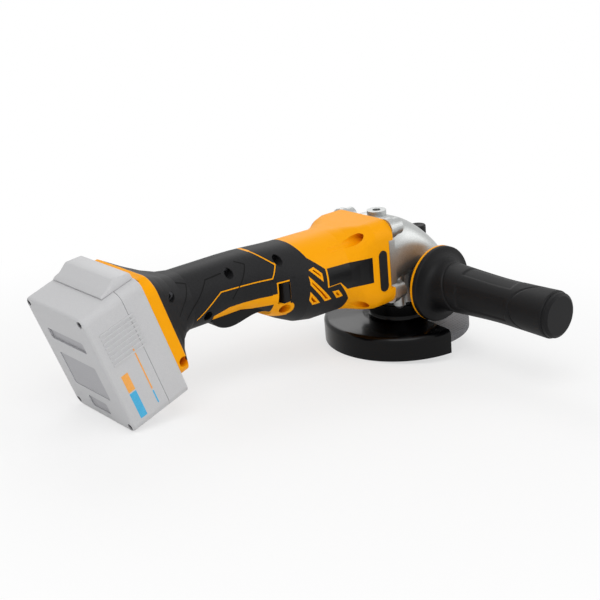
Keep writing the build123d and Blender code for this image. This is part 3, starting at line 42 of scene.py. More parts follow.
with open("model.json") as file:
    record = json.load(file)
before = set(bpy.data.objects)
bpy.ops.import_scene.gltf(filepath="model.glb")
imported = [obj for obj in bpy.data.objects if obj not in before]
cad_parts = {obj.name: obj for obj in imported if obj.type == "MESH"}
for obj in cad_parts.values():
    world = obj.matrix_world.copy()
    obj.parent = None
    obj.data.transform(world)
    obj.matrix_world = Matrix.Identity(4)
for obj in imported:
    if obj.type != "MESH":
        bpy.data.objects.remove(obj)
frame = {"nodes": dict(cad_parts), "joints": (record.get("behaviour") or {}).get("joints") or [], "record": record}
cadLow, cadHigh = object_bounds()
nodes = frame["nodes"]
joints = {joint["name"]: joint for joint in frame["joints"]}
slotOf = {part["node"]: part["material_slot"] for part in frame["record"]["subparts"]}
spindleAxis = joints["spindle_spin"]["axis"]
stance = math.atan2(-spindleAxis[0], spindleAxis[2])  # the tool lies nose-up by this angle
sides = {"right": -1.0, "left": 1.0}  # which way each side faces
smoothDegrees = 35.0  # faces that meet at less than this are shaded as one
print("frame loaded,", len(nodes), "nodes, stance", round(math.degrees(stance), 2), "degrees")


def toRow(points):
    # tool places in mm (forwards, left, up the spindle) turned to the row frame in metres
    points = np.asarray(points, float)
    x, y, z = points[..., 0], points[..., 1], points[..., 2]
    turned = (x * math.cos(stance) - z * math.sin(stance), y, x * math.sin(stance) + z * math.cos(stance))
    return np.stack(turned, -1) * mm


def linear(hexText, alpha=1.0):
    # sRGB hex to the linear colour that a shader socket takes
    value = np.array([int(hexText[i : i + 2], 16) for i in (0, 2, 4)]) / 255
    low = value / 12.92
    high = ((value + 0.055) / 1.055) ** 2.4
    return (*np.where(value <= 0.04045, low, high).tolist(), alpha)


def addNode(tree, kind, inputs=None, **settings):
    # one shader node with its settings, its fixed values and its links
    made = tree.nodes.new(kind)
    for name, value in settings.items():
        setattr(made, name, value)
    for name, value in (inputs or {}).items():
        if isinstance(value, bpy.types.NodeSocket):
            tree.links.new(value, made.inputs[name])
        else:
            made.inputs[name].default_value = value
    return made


def addMath(tree, operation, *values):
    # one sum on fixed values or sockets
    return addNode(tree, "ShaderNodeMath", dict(enumerate(values)), operation=operation).outputs["Value"]


def addRange(tree, value, low, high):
    # 0 to 1 as the value goes from low to high
    span = {"Value": value, "From Min": low, "From Max": high}
    return addNode(tree, "ShaderNodeMapRange", span).outputs["Result"]


def addRamp(tree, factor, low, high):
    # colour between two (position, hex) stops
    ramp = addNode(tree, "ShaderNodeValToRGB", {"Fac": factor})
    for element, (position, hexText) in zip(ramp.color_ramp.elements, (low, high)):
        element.position = position
        element.color = linear(hexText)
    return ramp.outputs["Color"]


def objectPlace(tree):
    # place on the piece, which the textures go by
    return addNode(tree, "ShaderNodeTexCoord").outputs["Object"]


def startMaterial(name, hexText, roughness, metallic=0.0, **sockets):
    # Principled surface with uniform values on its own sockets
    made = bpy.data.materials.new(name)
    made.use_nodes = True
    tree = made.node_tree
    surface = tree.nodes["Principled BSDF"]
    surface.inputs["Base Color"].default_value = linear(hexText)
    surface.inputs["Roughness"].default_value = roughness
    surface.inputs["Metallic"].default_value = metallic
    for socket, value in sockets.items():
        surface.inputs[socket].default_value = value
    return made, tree, surface


def addGrain(tree, surface, sizeMm, depthMm, detail=2.0):
    # moulded or blasted texture: a noise of that grain size lifts the surface by that depth
    grain = {"Vector": objectPlace(tree), "Scale": 1 / (sizeMm * mm), "Detail": detail}
    height = addNode(tree, "ShaderNodeTexNoise", grain).outputs["Fac"]
    lift = {"Height": height, "Strength": 1.0, "Distance": depthMm * mm}
    bump = addNode(tree, "ShaderNodeBump", lift)
    tree.links.new(bump.outputs["Normal"], surface.inputs["Normal"])
    return height


def grainedMaterial(name, darkHex, lightHex, roughness, metallic, grain, **sockets):
    # surface whose grain lifts it and also shifts its colour a little
    made, tree, surface = startMaterial(name, lightHex, roughness, metallic, **sockets)
    height = addGrain(tree, surface, **grain)
    tree.links.new(addRamp(tree, height, (0.3, darkHex), (0.7, lightHex)), surface.inputs["Base Color"])
    return made


def mouldedAbs(name, darkHex, lightHex, roughness, shine=0.2):
    # injection-moulded ABS: even colour, satin shine, very fine spark-eroded texture
    grain = {"sizeMm": 0.7, "depthMm": 0.006}
    return grainedMaterial(name, darkHex, lightHex, roughness, 0.0, grain, **{"Specular IOR Level": shine})


def softTpe(name, darkHex, lightHex):
    # over-moulded thermoplastic rubber: near black, dull, with a leathery grain drawn coarse enough to show
    grain = {"sizeMm": 1.1, "depthMm": 0.05, "detail": 4.0}
    return grainedMaterial(name, darkHex, lightHex, 0.6, 0.0, grain, **{"Specular IOR Level": 0.22})


def castAlloy(name, darkHex, lightHex):
    # die-cast and blasted aluminium: bright grey, broad soft reflections, fine pitted skin
    grain = {"sizeMm": 0.8, "depthMm": 0.03, "detail": 3.0}
    return grainedMaterial(name, darkHex, lightHex, 0.38, 0.85, grain)


def turnedSteel(name, darkHex, lightHex, roughness):
    # turned or ground metal: full metallic shine, broken by a faint fine grain
    grain = {"sizeMm": 0.5, "depthMm": 0.008}
    return grainedMaterial(name, darkHex, lightHex, roughness, 1.0, grain)


def stovedPaint(name, hexText):
    # stoved gloss paint on pressed steel: deep black with a clear shine and slight orange peel
    shine = {"Specular IOR Level": 0.12, "Coat Weight": 0.1, "Coat Roughness": 0.04}
    made, tree, surface = startMaterial(name, hexText, 0.25, **shine)
    addGrain(tree, surface, 3.0, 0.01)
    return made


def bondedAbrasive(name):
    # resin-bonded grit, rough and matt, with a paler glass-fibre net pressed into its flat faces
    made, tree, surface = startMaterial(name, "6a6a6b", 0.85)
    grit = addGrain(tree, surface, 0.9, 0.12, 5.0)
    spacing = 2.6 * mm
    waveLength = 0.314  # of the wave texture at scale 1
    wave = {"Vector": objectPlace(tree), "Scale": waveLength / spacing}
    wave.update({"Distortion": 0.6, "Detail": 1.0, "Detail Scale": 60.0})
    threads = []
    for axis in ("X", "Y"):
        band = addNode(tree, "ShaderNodeTexWave", wave, bands_direction=axis)
        threads.append(addRange(tree, band.outputs["Fac"], 0.72, 0.95))
    crossed = addMath(tree, "MAXIMUM", *threads)
    normal = addNode(tree, "ShaderNodeNewGeometry").outputs["Normal"]
    upright = addNode(tree, "ShaderNodeSeparateXYZ", {0: normal}).outputs["Z"]
    flat = addRange(tree, addMath(tree, "ABSOLUTE", upright), 0.6, 0.9)
    net = addMath(tree, "MULTIPLY", crossed, flat)
    resin = addRamp(tree, grit, (0.3, "48484b"), (0.75, "868689"))
    layers = {"Factor": net, "A": resin, "B": linear("9a9a9d")}
    mix = addNode(tree, "ShaderNodeMix", layers, data_type="RGBA")
    tree.links.new(mix.outputs["Result"], surface.inputs["Base Color"])
    return made


# Materials, each named for the real one, besides two darker ones that paint the shade in grooves and recesses
yellowAbs = mouldedAbs("yellow moulded ABS", "fea600", "ffac00", 0.45, 0.1)
blackTpe = softTpe("black over-moulded TPE", "121213", "1b1b1d")
blackNylon = mouldedAbs("black glass-filled nylon", "0a0a0b", "101012", 0.55)
# painted shade: a near-black colour on flat strips that stands in for the shade inside the cover's grooves
grooveShadeTpe = mouldedAbs("painted shade of a groove in the TPE", "050505", "0a0a0a", 0.8)
greyAbs = mouldedAbs("grey moulded ABS", "c6c6c8", "cccccd", 0.45)
# painted shade: a darker grey on recess walls and floors that stands in for the shade inside them
recessShadeAbs = mouldedAbs("grey ABS darkened as painted recess shade", "b2b2b5", "b9b9bc", 0.6)
blastedAlloy = castAlloy("die-cast blasted aluminium", "a4a6a5", "bcbebd")
groundSteel = turnedSteel("ground bearing steel", "a2a2a4", "c4c4c6", 0.28)
blackSteel = turnedSteel("blackened steel", "38383a", "4e4e51", 0.36)
guardPaint = stovedPaint("gloss black stoved paint", "020203")
abrasive = bondedAbrasive("resin-bonded abrasive")
lamination = turnedSteel("varnished steel laminations", "59595b", "78787b", 0.45)
copperWire = turnedSteel("enamelled copper", "94481f", "b8622f", 0.35)
cellSleeve = mouldedAbs("PVC cell sleeve", "39677f", "467a95", 0.3)
boardMask = mouldedAbs("solder-masked board", "12522b", "1a6a38", 0.35)
pressedFelt = softTpe("pressed wool felt", "8b8378", "b1a798")
plateFilm = mouldedAbs("black rating-plate film", "0e0e0f", "131314", 0.3)
orangeInk = mouldedAbs("orange print", "f5a94e", "fbb460", 0.4)
cyanInk = mouldedAbs("cyan print", "48aedb", "57bbe6", 0.4)

finishOf = {
    "yellow_shell": yellowAbs,
    "black_cover": blackTpe,
    "black_plastic": blackNylon,
    "cast_alloy": blastedAlloy,
    "bright_steel": groundSteel,
    "dark_steel": blackSteel,
    "guard_paint": guardPaint,
    "abrasive": abrasive,
    "laminations": lamination,
    "copper": copperWire,
    "pack_grey": greyAbs,
    "cell_wrap": cellSleeve,
    "board_green": boardMask,
    "felt": pressedFelt,
}
for name, part in nodes.items():
    part.data.materials.clear()
    part.data.materials.append(finishOf[slotOf[name]])
nodes["release_latch"].data.materials[0] = greyAbs  # the latch bar is moulded in the pack's own grey
print("materials on", len(nodes), "nodes")


def gridFaces(rows, columns, closedRows, closedColumns):
    # quads over a grid of points, joined round where the grid closes
    row = np.arange(rows if closedRows else rows - 1)
    column = np.arange(columns if closedColumns else columns - 1)
    r, c = np.meshgrid(row, column, indexing="ij")
    nextRow = (r + 1) % rows
    nextColumn = (c + 1) % columns
    here = np.stack([r * columns + c, nextRow * columns + c], -1)
    beyond = np.stack([nextRow * columns + nextColumn, r * columns + nextColumn], -1)
    return np.concatenate([here, beyond], -1).reshape(-1, 4)


def makePiece(name, points, faces, material, smoothAngle=smoothDegrees):
    # mesh object at the origin from row-frame points, smooth up to that angle
    mesh = bpy.data.meshes.new(name)
    mesh.from_pydata(points.reshape(-1, 3).tolist(), [], faces.tolist())
    work = bmesh.new()
    work.from_mesh(mesh)
    bmesh.ops.remove_doubles(work, verts=work.verts, dist=1e-6)
    bmesh.ops.recalc_face_normals(work, faces=work.faces)
    work.to_mesh(mesh)
    work.free()
    mesh.polygons.foreach_set("use_smooth", np.ones(len(mesh.polygons), bool))
    mesh.set_sharp_from_angle(angle=math.radians(smoothAngle))
    mesh.materials.append(material)
    made = bpy.data.objects.new(name, mesh)
    bpy.context.scene.collection.objects.link(made)
    return made


def joinGrids(*grids):
    # several (points, faces) pairs as one
    points = []
    faces = []
    offset = 0
    for gridPoints, gridQuads in grids:
        flat = gridPoints.reshape(-1, 3)
        points.append(flat)
        faces.append(np.asarray(gridQuads) + offset)
        offset += len(flat)
    return np.concatenate(points), np.concatenate(faces)


def spinUp(profile, centre, turn):
    # profile of (radius, height) turned about an upright line
    radius, height = profile[:, :1], profile[:, 1:]
    x = centre[0] + radius * np.cos(turn)
    y = centre[1] + radius * np.sin(turn)
    return np.stack([x, y, height + 0 * turn], -1)


def smoothLine(points, count):
    # Catmull-Rom line through the points
    points = np.asarray(points, float)
    padded = np.vstack([2 * points[0] - points[1], points, 2 * points[-1] - points[-2]])
    place = np.linspace(0, len(points) - 1, count)
    k = np.minimum(place.astype(int), len(points) - 2)
    t = (place - k)[:, None]
    a, b, c, d = padded[k], padded[k + 1], padded[k + 2], padded[k + 3]
    return 0.5 * (2 * b + (c - a) * t + (2 * a - 5 * b + 4 * c - d) * t**2 + (3 * b - a - 3 * c + d) * t**3)


def easeStep(value, edge, width):
    # 0 to 1 across an edge of that width
    t = np.clip((value - edge) / width + 0.5, 0, 1)
    return t * t * (3 - 2 * t)


turnSteps = 180
fullTurn = np.linspace(0, 2 * np.pi, turnSteps, endpoint=False)
origin = (0.0, 0.0)

# Side handle grip: a shield, a swelling grip with sunk panels and two slanting seams, all one moulding.
# Places along it are shares of its length, and a seam has its mean place and its lean to cosine and sine.
sideGrip = {"x": 1.0, "z": 33.4, "start": 45.5, "length": 119.0, "rows": 260}
gripPanel = {"from": 0.29, "to": 0.7, "fade": 0.02, "half": 9.0, "edge": 1.4, "depth": 0.7}
gripSeam = {"width": 0.006, "depth": 0.7, "from": 0.08, "to": 0.985}
gripSeam["places"] = [(0.185, -0.015, -0.055), (0.885, 0.145, -0.045)]
gripShield = [(54.5, 0.0), (54.5, 4.0), (45.5, 4.0), (45.5, 31.0), (45.7, 31.2), (48.9, 31.2), (49.5, 30.8)]
gripSwell = [(49.6, 30.4), (50.6, 26.0), (52.6, 22.6), (57.5, 20.4), (71.7, 19.4)]
gripSwell += [(95.0, 18.2), (117.0, 17.5), (142.0, 17.9), (163.0, 18.5)]
gripTip = [(164.2, 18.0), (164.5, 17.4), (164.5, 0.0)]


def spinHandle(along, radius):
    # rows of distance out to the right and radius, turned about the side handle's axis
    x = sideGrip["x"] + radius * np.cos(fullTurn)
    z = sideGrip["z"] + radius * np.sin(fullTurn)
    return np.stack([x, 0 * fullTurn - along, z], -1)


gripLine = np.vstack([gripShield, smoothLine(gripSwell, sideGrip["rows"])[1:], gripTip])
gripAlong, gripRadius = gripLine[:, :1], gripLine[:, 1:]
gripShare = (gripAlong - sideGrip["start"]) / sideGrip["length"]
quarterTurn = np.pi / 2
fromPanel = np.abs((fullTurn / quarterTurn + 0.5) % 1 - 0.5) * quarterTurn * gripRadius
panelMask = easeStep(gripShare, gripPanel["from"], gripPanel["fade"])
panelMask = panelMask * easeStep(-gripShare, -gripPanel["to"], gripPanel["fade"])
panelMask = panelMask * easeStep(-fromPanel, -gripPanel["half"], gripPanel["edge"])
seamMask = 0
for seamShare, seamCos, seamSin in gripSeam["places"]:
    seam = seamShare + seamCos * np.cos(fullTurn) + seamSin * np.sin(fullTurn)
    seamMask = seamMask + np.exp(-(((gripShare - seam) / gripSeam["width"]) ** 2))
seamMask = seamMask * ((gripShare > gripSeam["from"]) & (gripShare < gripSeam["to"]))
gripSkin = gripRadius - gripPanel["depth"] * panelMask - gripSeam["depth"] * seamMask
gripPiece = makePiece(
    "side_grip_moulding",
    toRow(spinHandle(gripAlong, gripSkin)),
    gridFaces(len(gripLine), len(fullTurn), False, True),
    blackNylon,
)
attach(gripPiece, "housing")
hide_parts("side_grip")
print("side grip moulding")

# Bellows boot over the handle boss: five rounded ribs with narrow valleys
boot = {"start": 27.6, "end": 42.5, "ribs": 5, "radius": 18.0, "depth": 2.4, "fullness": 0.5, "rows": 151}
boot.update({"bore": 13.5, "seat": 34.3, "stud": 4.0})
bootRun = np.linspace(boot["start"], boot["end"], boot["rows"])
bootPhase = (bootRun - boot["start"]) / (boot["end"] - boot["start"]) * boot["ribs"]
bootRib = np.abs(np.sin(np.pi * bootPhase)) ** boot["fullness"]
bootOuter = np.stack([bootRun, boot["radius"] - boot["depth"] * (1 - bootRib)], -1)
bootInner = [
    (boot["end"], boot["stud"]),
    (boot["seat"], boot["stud"]),
    (boot["seat"], boot["bore"]),
    (boot["start"], boot["bore"]),
]
bootLine = np.vstack([bootOuter, bootInner])
bootPiece = makePiece(
    "handle_boot_bellows",
    toRow(spinHandle(bootLine[:, :1], bootLine[:, 1:])),
    gridFaces(len(bootLine), len(fullTurn), True, True),
    blackTpe,
)
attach(bootPiece, "housing")
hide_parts("handle_boot")
print("handle boot bellows")

# Guard: pressed skirt and plate over half the disc, and the collar that the band clamps
guard = {"radius": 66.5, "wall": 1.6, "rim": -20.0, "bend": 4.0, "bendRows": 13, "smooth": 40.0}
guard.update({"bore": 25.05, "collar": 15.5, "plate": 8.0, "lap": 1.0, "fillet": 1.0})
guard.update({"from": 85.0, "to": 262.5, "turns": 181})
bend = np.radians(np.linspace(90, 0, guard["bendRows"]))
bendOut = np.stack([np.cos(bend), np.sin(bend)], -1)
bendCentre = np.array([guard["radius"] - guard["bend"], -guard["bend"]])
guardLine = np.vstack(
    [
        [(guard["bore"] + guard["lap"], 0.0)],
        bendCentre + guard["bend"] * bendOut,
        [(guard["radius"], guard["rim"]), (guard["radius"] - guard["wall"], guard["rim"])],
        bendCentre + (guard["bend"] - guard["wall"]) * bendOut[::-1],
        [(guard["bore"] + guard["lap"], -guard["wall"])],
    ]
)
guardTurn = np.radians(np.linspace(guard["from"], guard["to"], guard["turns"]))
guardRows = len(guardLine)
endInner = np.arange(guardRows // 2)
endOuter = guardRows - 1 - endInner
endPairs = np.stack([endInner[:-1], endInner[1:], endOuter[1:], endOuter[:-1]], -1) * guard["turns"]
skirtFaces = [gridFaces(guardRows, guard["turns"], True, False), endPairs, endPairs + guard["turns"] - 1]
collarOut = guard["bore"] + guard["wall"]
collarLine = np.array(
    [
        (guard["bore"], -guard["wall"]),
        (guard["bore"] + guard["plate"], -guard["wall"]),
        (guard["bore"] + guard["plate"], 0.0),
        (collarOut + guard["fillet"], 0.0),
        (collarOut + 0.3 * guard["fillet"], 0.3 * guard["fillet"]),
        (collarOut, guard["fillet"]),
        (collarOut, guard["collar"]),
        (guard["bore"], guard["collar"]),
    ]
)
guardPoints, guardFaces = joinGrids(
    (spinUp(guardLine, origin, guardTurn), np.concatenate(skirtFaces)),
    (spinUp(collarLine, origin, fullTurn), gridFaces(len(collarLine), len(fullTurn), True, True)),
)
guardPiece = makePiece("guard_pressing", toRow(guardPoints), guardFaces, guardPaint, guard["smooth"])
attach(guardPiece, "guard")
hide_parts("guard")
print("guard pressing")

# Spindle lock cap: a knob with a rounded edge and a finger dish, taller than its seat in the gear case
lockCap = {"x": 25.0, "radius": 7.0, "low": 59.0, "high": 69.5, "edge": 1.2, "edgeRows": 9}
lockCap.update({"dish": 0.6, "dishRim": 0.4, "dishRows": 12})
capFlat = lockCap["radius"] - lockCap["edge"]
capEdge = np.radians(np.linspace(90, 0, lockCap["edgeRows"]))
capDish = np.linspace(0, capFlat - lockCap["dishRim"], lockCap["dishRows"])
capDishDepth = lockCap["dish"] * (1 - (capDish / capDish[-1]) ** 2)
capRim = np.array([capFlat, lockCap["high"] - lockCap["edge"]])
capLine = np.vstack(
    [
        np.stack([capDish, lockCap["high"] - capDishDepth], -1),
        capRim + lockCap["edge"] * np.stack([np.cos(capEdge), np.sin(capEdge)], -1),
        [(lockCap["radius"], lockCap["low"]), (0.0, lockCap["low"])],
    ]
)
capPiece = makePiece(
    "lock_button_knob",
    toRow(spinUp(capLine, (lockCap["x"], 0.0), fullTurn)),
    gridFaces(len(capLine), len(fullTurn), False, True),
    blackNylon,
)
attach(capPiece, "spindle_lock")
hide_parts("lock_button")
print("lock button knob")

# Battery pack directions: u to the left, v up along the slide, w towards the tool
pack = {"lean": 17.0, "footX": -258.5, "footZ": 68.0, "half": 39.5}
pack.update({"length": 96.0, "depth": 49.2, "seam": 17.3})
lean = math.radians(pack["lean"])
upPack = np.array([-math.sin(lean), 0, math.cos(lean)])
intoFoot = np.array([math.cos(lean), 0, math.sin(lean)])
footPoint = np.array([pack["footX"], 0, pack["footZ"]])
leftWay = np.array([0, 1.0, 0])
halfLength = pack["length"] / 2
rearW = -pack["depth"]


def packPlace(u, v, w):
    # tool place of a place on the pack
    return footPoint + u[..., None] * leftWay + v[..., None] * upPack + w[..., None] * intoFoot


def packRing(outline, w):
    # tool places of a (u, v) outline, all at one w
    return packPlace(outline[:, 0], outline[:, 1], np.full(len(outline), w))


def roundedBox(halfU, lowV, highV, corner, count):
    # closed outline of a rounded rectangle, evenly spread
    quarter = np.radians(np.linspace(0, 90, count // 8))
    flatShare = np.linspace(0, 1, count // 8 + 2)[1:-1]
    corners = [(halfU - corner, highV - corner), (corner - halfU, highV - corner)]
    corners += [(corner - halfU, lowV + corner), (halfU - corner, lowV + corner)]
    arcs = []
    for k, (cu, cv) in enumerate(corners):
        angle = quarter + k * np.pi / 2
        arc = np.stack([cu + corner * np.cos(angle), cv + corner * np.sin(angle)], -1)
        following = corners[(k + 1) % 4]
        nextAngle = (k + 1) * np.pi / 2
        target = np.array(following) + corner * np.array([np.cos(nextAngle), np.sin(nextAngle)])
        arcs.append(arc)
        arcs.append(arc[-1] + (target - arc[-1]) * flatShare[:, None])
    return np.concatenate(arcs)


# Battery tray: rear half of the pack, rounded, with its slot, bare panel, window and screw bores cut in, their
# walls and floors in a darker grey of painted shade
tray = {"corner": 7.0, "edge": 2.0, "wall": 2.2, "slope": 0.6, "bend": 1.5}
tray.update({"count": 240, "wallRows": 24, "edgeRows": 10, "faceRows": 12})
recesses = {
    "slot": {"half": 24.0, "low": 16.0, "high": 25.0, "depth": 1.6},
    "panel": {"half": 24.0, "low": -24.0, "high": 4.0, "depth": 0.5},
    "window": {"half": 12.2, "low": -40.7, "high": -31.1, "depth": 0.9},
}
recessCut = {"corner": 1.5, "count": 48, "clear": 1.0}
screwBore = {"u": 35.0, "v": 43.2, "radius": 2.6, "depth": 2.0, "count": 40}
rearTop = halfLength - tray["slope"]
inside = roundedBox(
    pack["half"] - tray["wall"],
    tray["wall"] - halfLength,
    rearTop - tray["wall"],
    tray["corner"] - tray["wall"],
    tray["count"],
)
trayRows = [packRing(inside * share, rearW + tray["wall"]) for share in (0.0, 0.5, 1.0)]
trayRows.append(packRing(inside, -pack["seam"]))
for share in np.linspace(0, 1, tray["wallRows"]):
    w = -pack["seam"] + share * (rearW + tray["edge"] + pack["seam"])
    top = halfLength - tray["slope"] * share ** tray["bend"]
    trayRows.append(packRing(roundedBox(pack["half"], -halfLength, top, tray["corner"], tray["count"]), w))
for angle in np.radians(np.linspace(0, 90, tray["edgeRows"]))[1:]:
    inset = tray["edge"] * (1 - math.cos(angle))
    corner = tray["corner"] - inset
    rearFace = roundedBox(pack["half"] - inset, inset - halfLength, rearTop - inset, corner, tray["count"])
    trayRows.append(packRing(rearFace, rearW + tray["edge"] * (1 - math.sin(angle))))
faceMiddle = np.array([0.0, (rearTop - halfLength) / 2])
for share in np.linspace(1, 0, tray["faceRows"])[1:]:
    trayRows.append(packRing(faceMiddle + (rearFace - faceMiddle) * share, rearW))
trayPiece = makePiece(
    "pack_tray_moulding",
    toRow(np.stack(trayRows)),
    gridFaces(len(trayRows), tray["count"], False, True),
    greyAbs,
)


def cutRecess(piece, outline, depth):
    # outline in (u, v) pushed into the rear face by that depth, its walls and floor in the darker grey of painted
    # shade
    mid = outline.mean(0) + 0 * outline
    outside = rearW - recessCut["clear"]
    inward = rearW + depth
    rows = [packRing(mid, outside), packRing(outline, outside)]
    rows += [packRing(outline, inward), packRing(mid, inward)]
    faces = gridFaces(len(rows), len(outline), False, True)
    cutter = makePiece("cutter", toRow(np.stack(rows)), faces, recessShadeAbs)
    cut = piece.modifiers.new("recess", "BOOLEAN")
    cut.operation = "DIFFERENCE"
    cut.solver = "EXACT"
    cut.material_mode = "TRANSFER"
    cut.object = cutter
    result = bpy.data.meshes.new_from_object(piece.evaluated_get(bpy.context.evaluated_depsgraph_get()))
    piece.modifiers.remove(cut)
    piece.data = result
    bpy.data.objects.remove(cutter)


for recess in recesses.values():
    shape = roundedBox(
        recess["half"], recess["low"], recess["high"], recessCut["corner"], recessCut["count"]
    )
    cutRecess(trayPiece, shape, recess["depth"])
boreTurn = np.linspace(0, 2 * np.pi, screwBore["count"], endpoint=False)
boreRing = screwBore["radius"] * np.stack([np.cos(boreTurn), np.sin(boreTurn)], -1)
for signU in (-1, 1):
    for signV in (-1, 1):
        boreMiddle = np.array([signU * screwBore["u"], signV * screwBore["v"]])
        cutRecess(trayPiece, boreMiddle + boreRing, screwBore["depth"])
trayPiece.data.set_sharp_from_angle(angle=math.radians(smoothDegrees))
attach(trayPiece, "pack")
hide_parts("pack_lower")
print("pack tray moulding")

# Latch hood: the moulded hump over the latch bar, drawn as (w, height) with a ridge, a finger slope and a
# ledge. Both of its ends are rounded off and close to a point at the ridge.
hood = {"half": 33.0, "low": 48.25, "edge": 2.0, "ridge": -14.0, "from": 15.0, "rows": 9, "tip": 0.1}
hoodFront = [(-1.0, 0.0), (-1.0, 4.0), (-1.6, 4.5), (-13.2, 6.9)]
hoodRear = [(-14.4, 6.7), (-21.0, 3.0), (-25.6, 2.2), (-27.0, 0.9), (-27.0, 0.0)]
hoodLine = np.array(hoodFront + hoodRear)
hoodEnd = np.radians(np.linspace(hood["from"], 90, hood["rows"]))
endU = hood["half"] - hood["edge"] * (1 - np.cos(hoodEnd))
hoodU = np.concatenate([-endU[:1], -endU, endU[::-1], endU[:1]])
hoodRise = np.concatenate([[hood["tip"]], np.sin(hoodEnd), np.sin(hoodEnd)[::-1], [hood["tip"]]])
hoodSpread = np.ones((len(hoodU), 1))
hoodSpread[[0, -1]] = 0
hoodHeight = np.where(hoodSpread > 0, hoodLine[:, 1], hoodLine[:, 1].max())
hoodV = hood["low"] + hoodRise[:, None] * hoodHeight
hoodW = hood["ridge"] + hoodSpread * (hoodLine[:, 0] - hood["ridge"])
hoodPiece = makePiece(
    "latch_hood",
    toRow(packPlace(hoodU[:, None] + 0 * hoodV, hoodV, hoodW)),
    gridFaces(len(hoodU), len(hoodLine), False, True),
    greyAbs,
)
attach(hoodPiece, "latch")
print("latch hood")


def surfaceAt(flat, skinName, sideName):
    # how far left a moulding's skin lies, in mm, at side-view places (x, up), met from that side
    flat = np.asarray(flat, float)
    sideSign = sides[sideName]
    clear = 60.0  # mm out to the side, past every moulding
    start = np.stack([flat[..., 0], np.full(flat.shape[:-1], clear * sideSign), flat[..., 1]], -1)
    mesh = bpy.data.meshes.new("probe")
    mesh.from_pydata(toRow(start).reshape(-1, 3).tolist(), [], [])
    probe = bpy.data.objects.new("probe", mesh)
    bpy.context.scene.collection.objects.link(probe)
    wrap = probe.modifiers.new("lay on", "SHRINKWRAP")
    wrap.wrap_method = "PROJECT"
    wrap.target = nodes[skinName + "_" + sideName]
    wrap.auxiliary_target = nodes["housing_" + sideName]
    wrap.use_project_y = True
    wrap.use_negative_direction = sideSign > 0
    wrap.use_positive_direction = sideSign < 0
    laid = probe.evaluated_get(bpy.context.evaluated_depsgraph_get()).to_mesh()
    places = np.empty(3 * len(laid.vertices))
    laid.vertices.foreach_get("co", places)
    bpy.data.objects.remove(probe)
    bpy.data.meshes.remove(mesh)
    return places[1::3].reshape(flat.shape[:-1]) / mm


def conform(name, flat, skinName, sideName, lift, material):
    # a sheet drawn in side view and laid on a moulding from that side, standing proud by lift
    rows, columns = flat.shape[:2]
    skin = surfaceAt(flat, skinName, sideName)
    proud = sides[sideName] * lift
    layers = [np.stack([flat[..., 0], skin + way * proud, flat[..., 1]], -1) for way in (1, -1)]
    edge = np.concatenate(
        [
            np.arange(columns - 1),
            np.arange(rows - 1) * columns + columns - 1,
            (rows - 1) * columns + np.arange(columns - 1, 0, -1),
            np.arange(rows - 1, 0, -1) * columns,
        ]
    )
    following = np.roll(edge, -1)
    under = rows * columns
    rim = np.stack([edge, following, following + under, edge + under], -1)
    sheet = gridFaces(rows, columns, False, False)
    faces = np.concatenate([sheet, sheet + under, rim])
    made = makePiece(name, toRow(np.stack(layers)), faces, material)
    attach(made, "housing")
    return made


# Bare rating plate on the right of the barrel, clipped at the lower corner for the vents
plate = {"rear": -105.0, "front": -60.8, "columns": 90, "rows": 24, "lift": 0.15}
plateRun = np.linspace(plate["rear"], plate["front"], plate["columns"])
plateTop = np.interp(plateRun, [plate["rear"], plate["front"]], [72.8, 70.2])
plateLow = np.interp(plateRun, [plate["rear"], -93.6, -86.5, plate["front"]], [58.6, 58.6, 51.2, 49.4])
plateUp = np.linspace(0, 1, plate["rows"])[:, None]
plateFlat = np.stack([plateRun + 0 * plateUp, plateLow + (plateTop - plateLow) * plateUp], -1)
platePiece = conform("rating_plate", plateFlat, "housing", "right", plate["lift"], plateFilm)
print("bare rating plate")


def ribbon(points, width, count):
    # strip of that width along a side-view line
    line = np.asarray(points, float)
    length = np.concatenate([[0], np.cumsum(np.linalg.norm(np.diff(line, axis=0), axis=1))])
    place = np.linspace(0, length[-1], count)
    centre = np.stack([np.interp(place, length, line[:, 0]), np.interp(place, length, line[:, 1])], -1)
    run = np.gradient(centre, axis=0)
    run /= np.linalg.norm(run, axis=1)[:, None]
    normal = np.stack([-run[:, 1], run[:, 0]], -1)
    return np.stack([centre - normal * width / 2, centre, centre + normal * width / 2], 0)


# Moulded grooves across the soft cover, shown as flat dark strips of painted shade laid on it, with no groove cut
groove = {"width": 0.8, "count": 120, "lift": 0.06}
grooveLines = {
    "rear": [(-231.0, 95.0), (-222.9, 92.0), (-229.0, 82.0), (-237.4, 73.7)],
    "front": [(-177.0, 95.0), (-170.5, 92.0), (-178.0, 82.0), (-188.2, 71.0)],
    "panel": [(-230.0, 68.0), (-218.0, 79.0), (-207.2, 90.5), (-192.5, 91.2)],
}
for sideName in sides:
    for grooveName, line in grooveLines.items():
        stripName = "cover_groove_" + grooveName + "_" + sideName
        stripFlat = ribbon(line, groove["width"], groove["count"])
        strip = conform(stripName, stripFlat, "grip_cover", sideName, groove["lift"], grooveShadeTpe)
print("cover grooves")

# Soft cover drawn close round the lock-off window, so that only a thin yellow line shows above and behind
# it. Each patch is a rear x, a front x, a low z and a high z.
coverLift = 0.12
patchCount = 24
surround = {
    "rear": (-154.9, -150.1, 64.7, 76.0),
    "top": (-154.9, -135.0, 73.4, 76.0),
    "front": (-139.58, -135.0, 54.5, 74.6),
}
for sideName in sides:
    for placeName, (rearX, frontX, lowZ, highZ) in surround.items():
        patchX = np.linspace(rearX, frontX, patchCount)
        patchZ = np.linspace(lowZ, highZ, patchCount)
        patchName = "lock_off_surround_" + placeName + "_" + sideName
        patchFlat = np.stack(np.meshgrid(patchX, patchZ), -1)
        patch = conform(patchName, patchFlat, "grip_cover", sideName, coverLift, blackTpe)
print("lock-off surrounds")

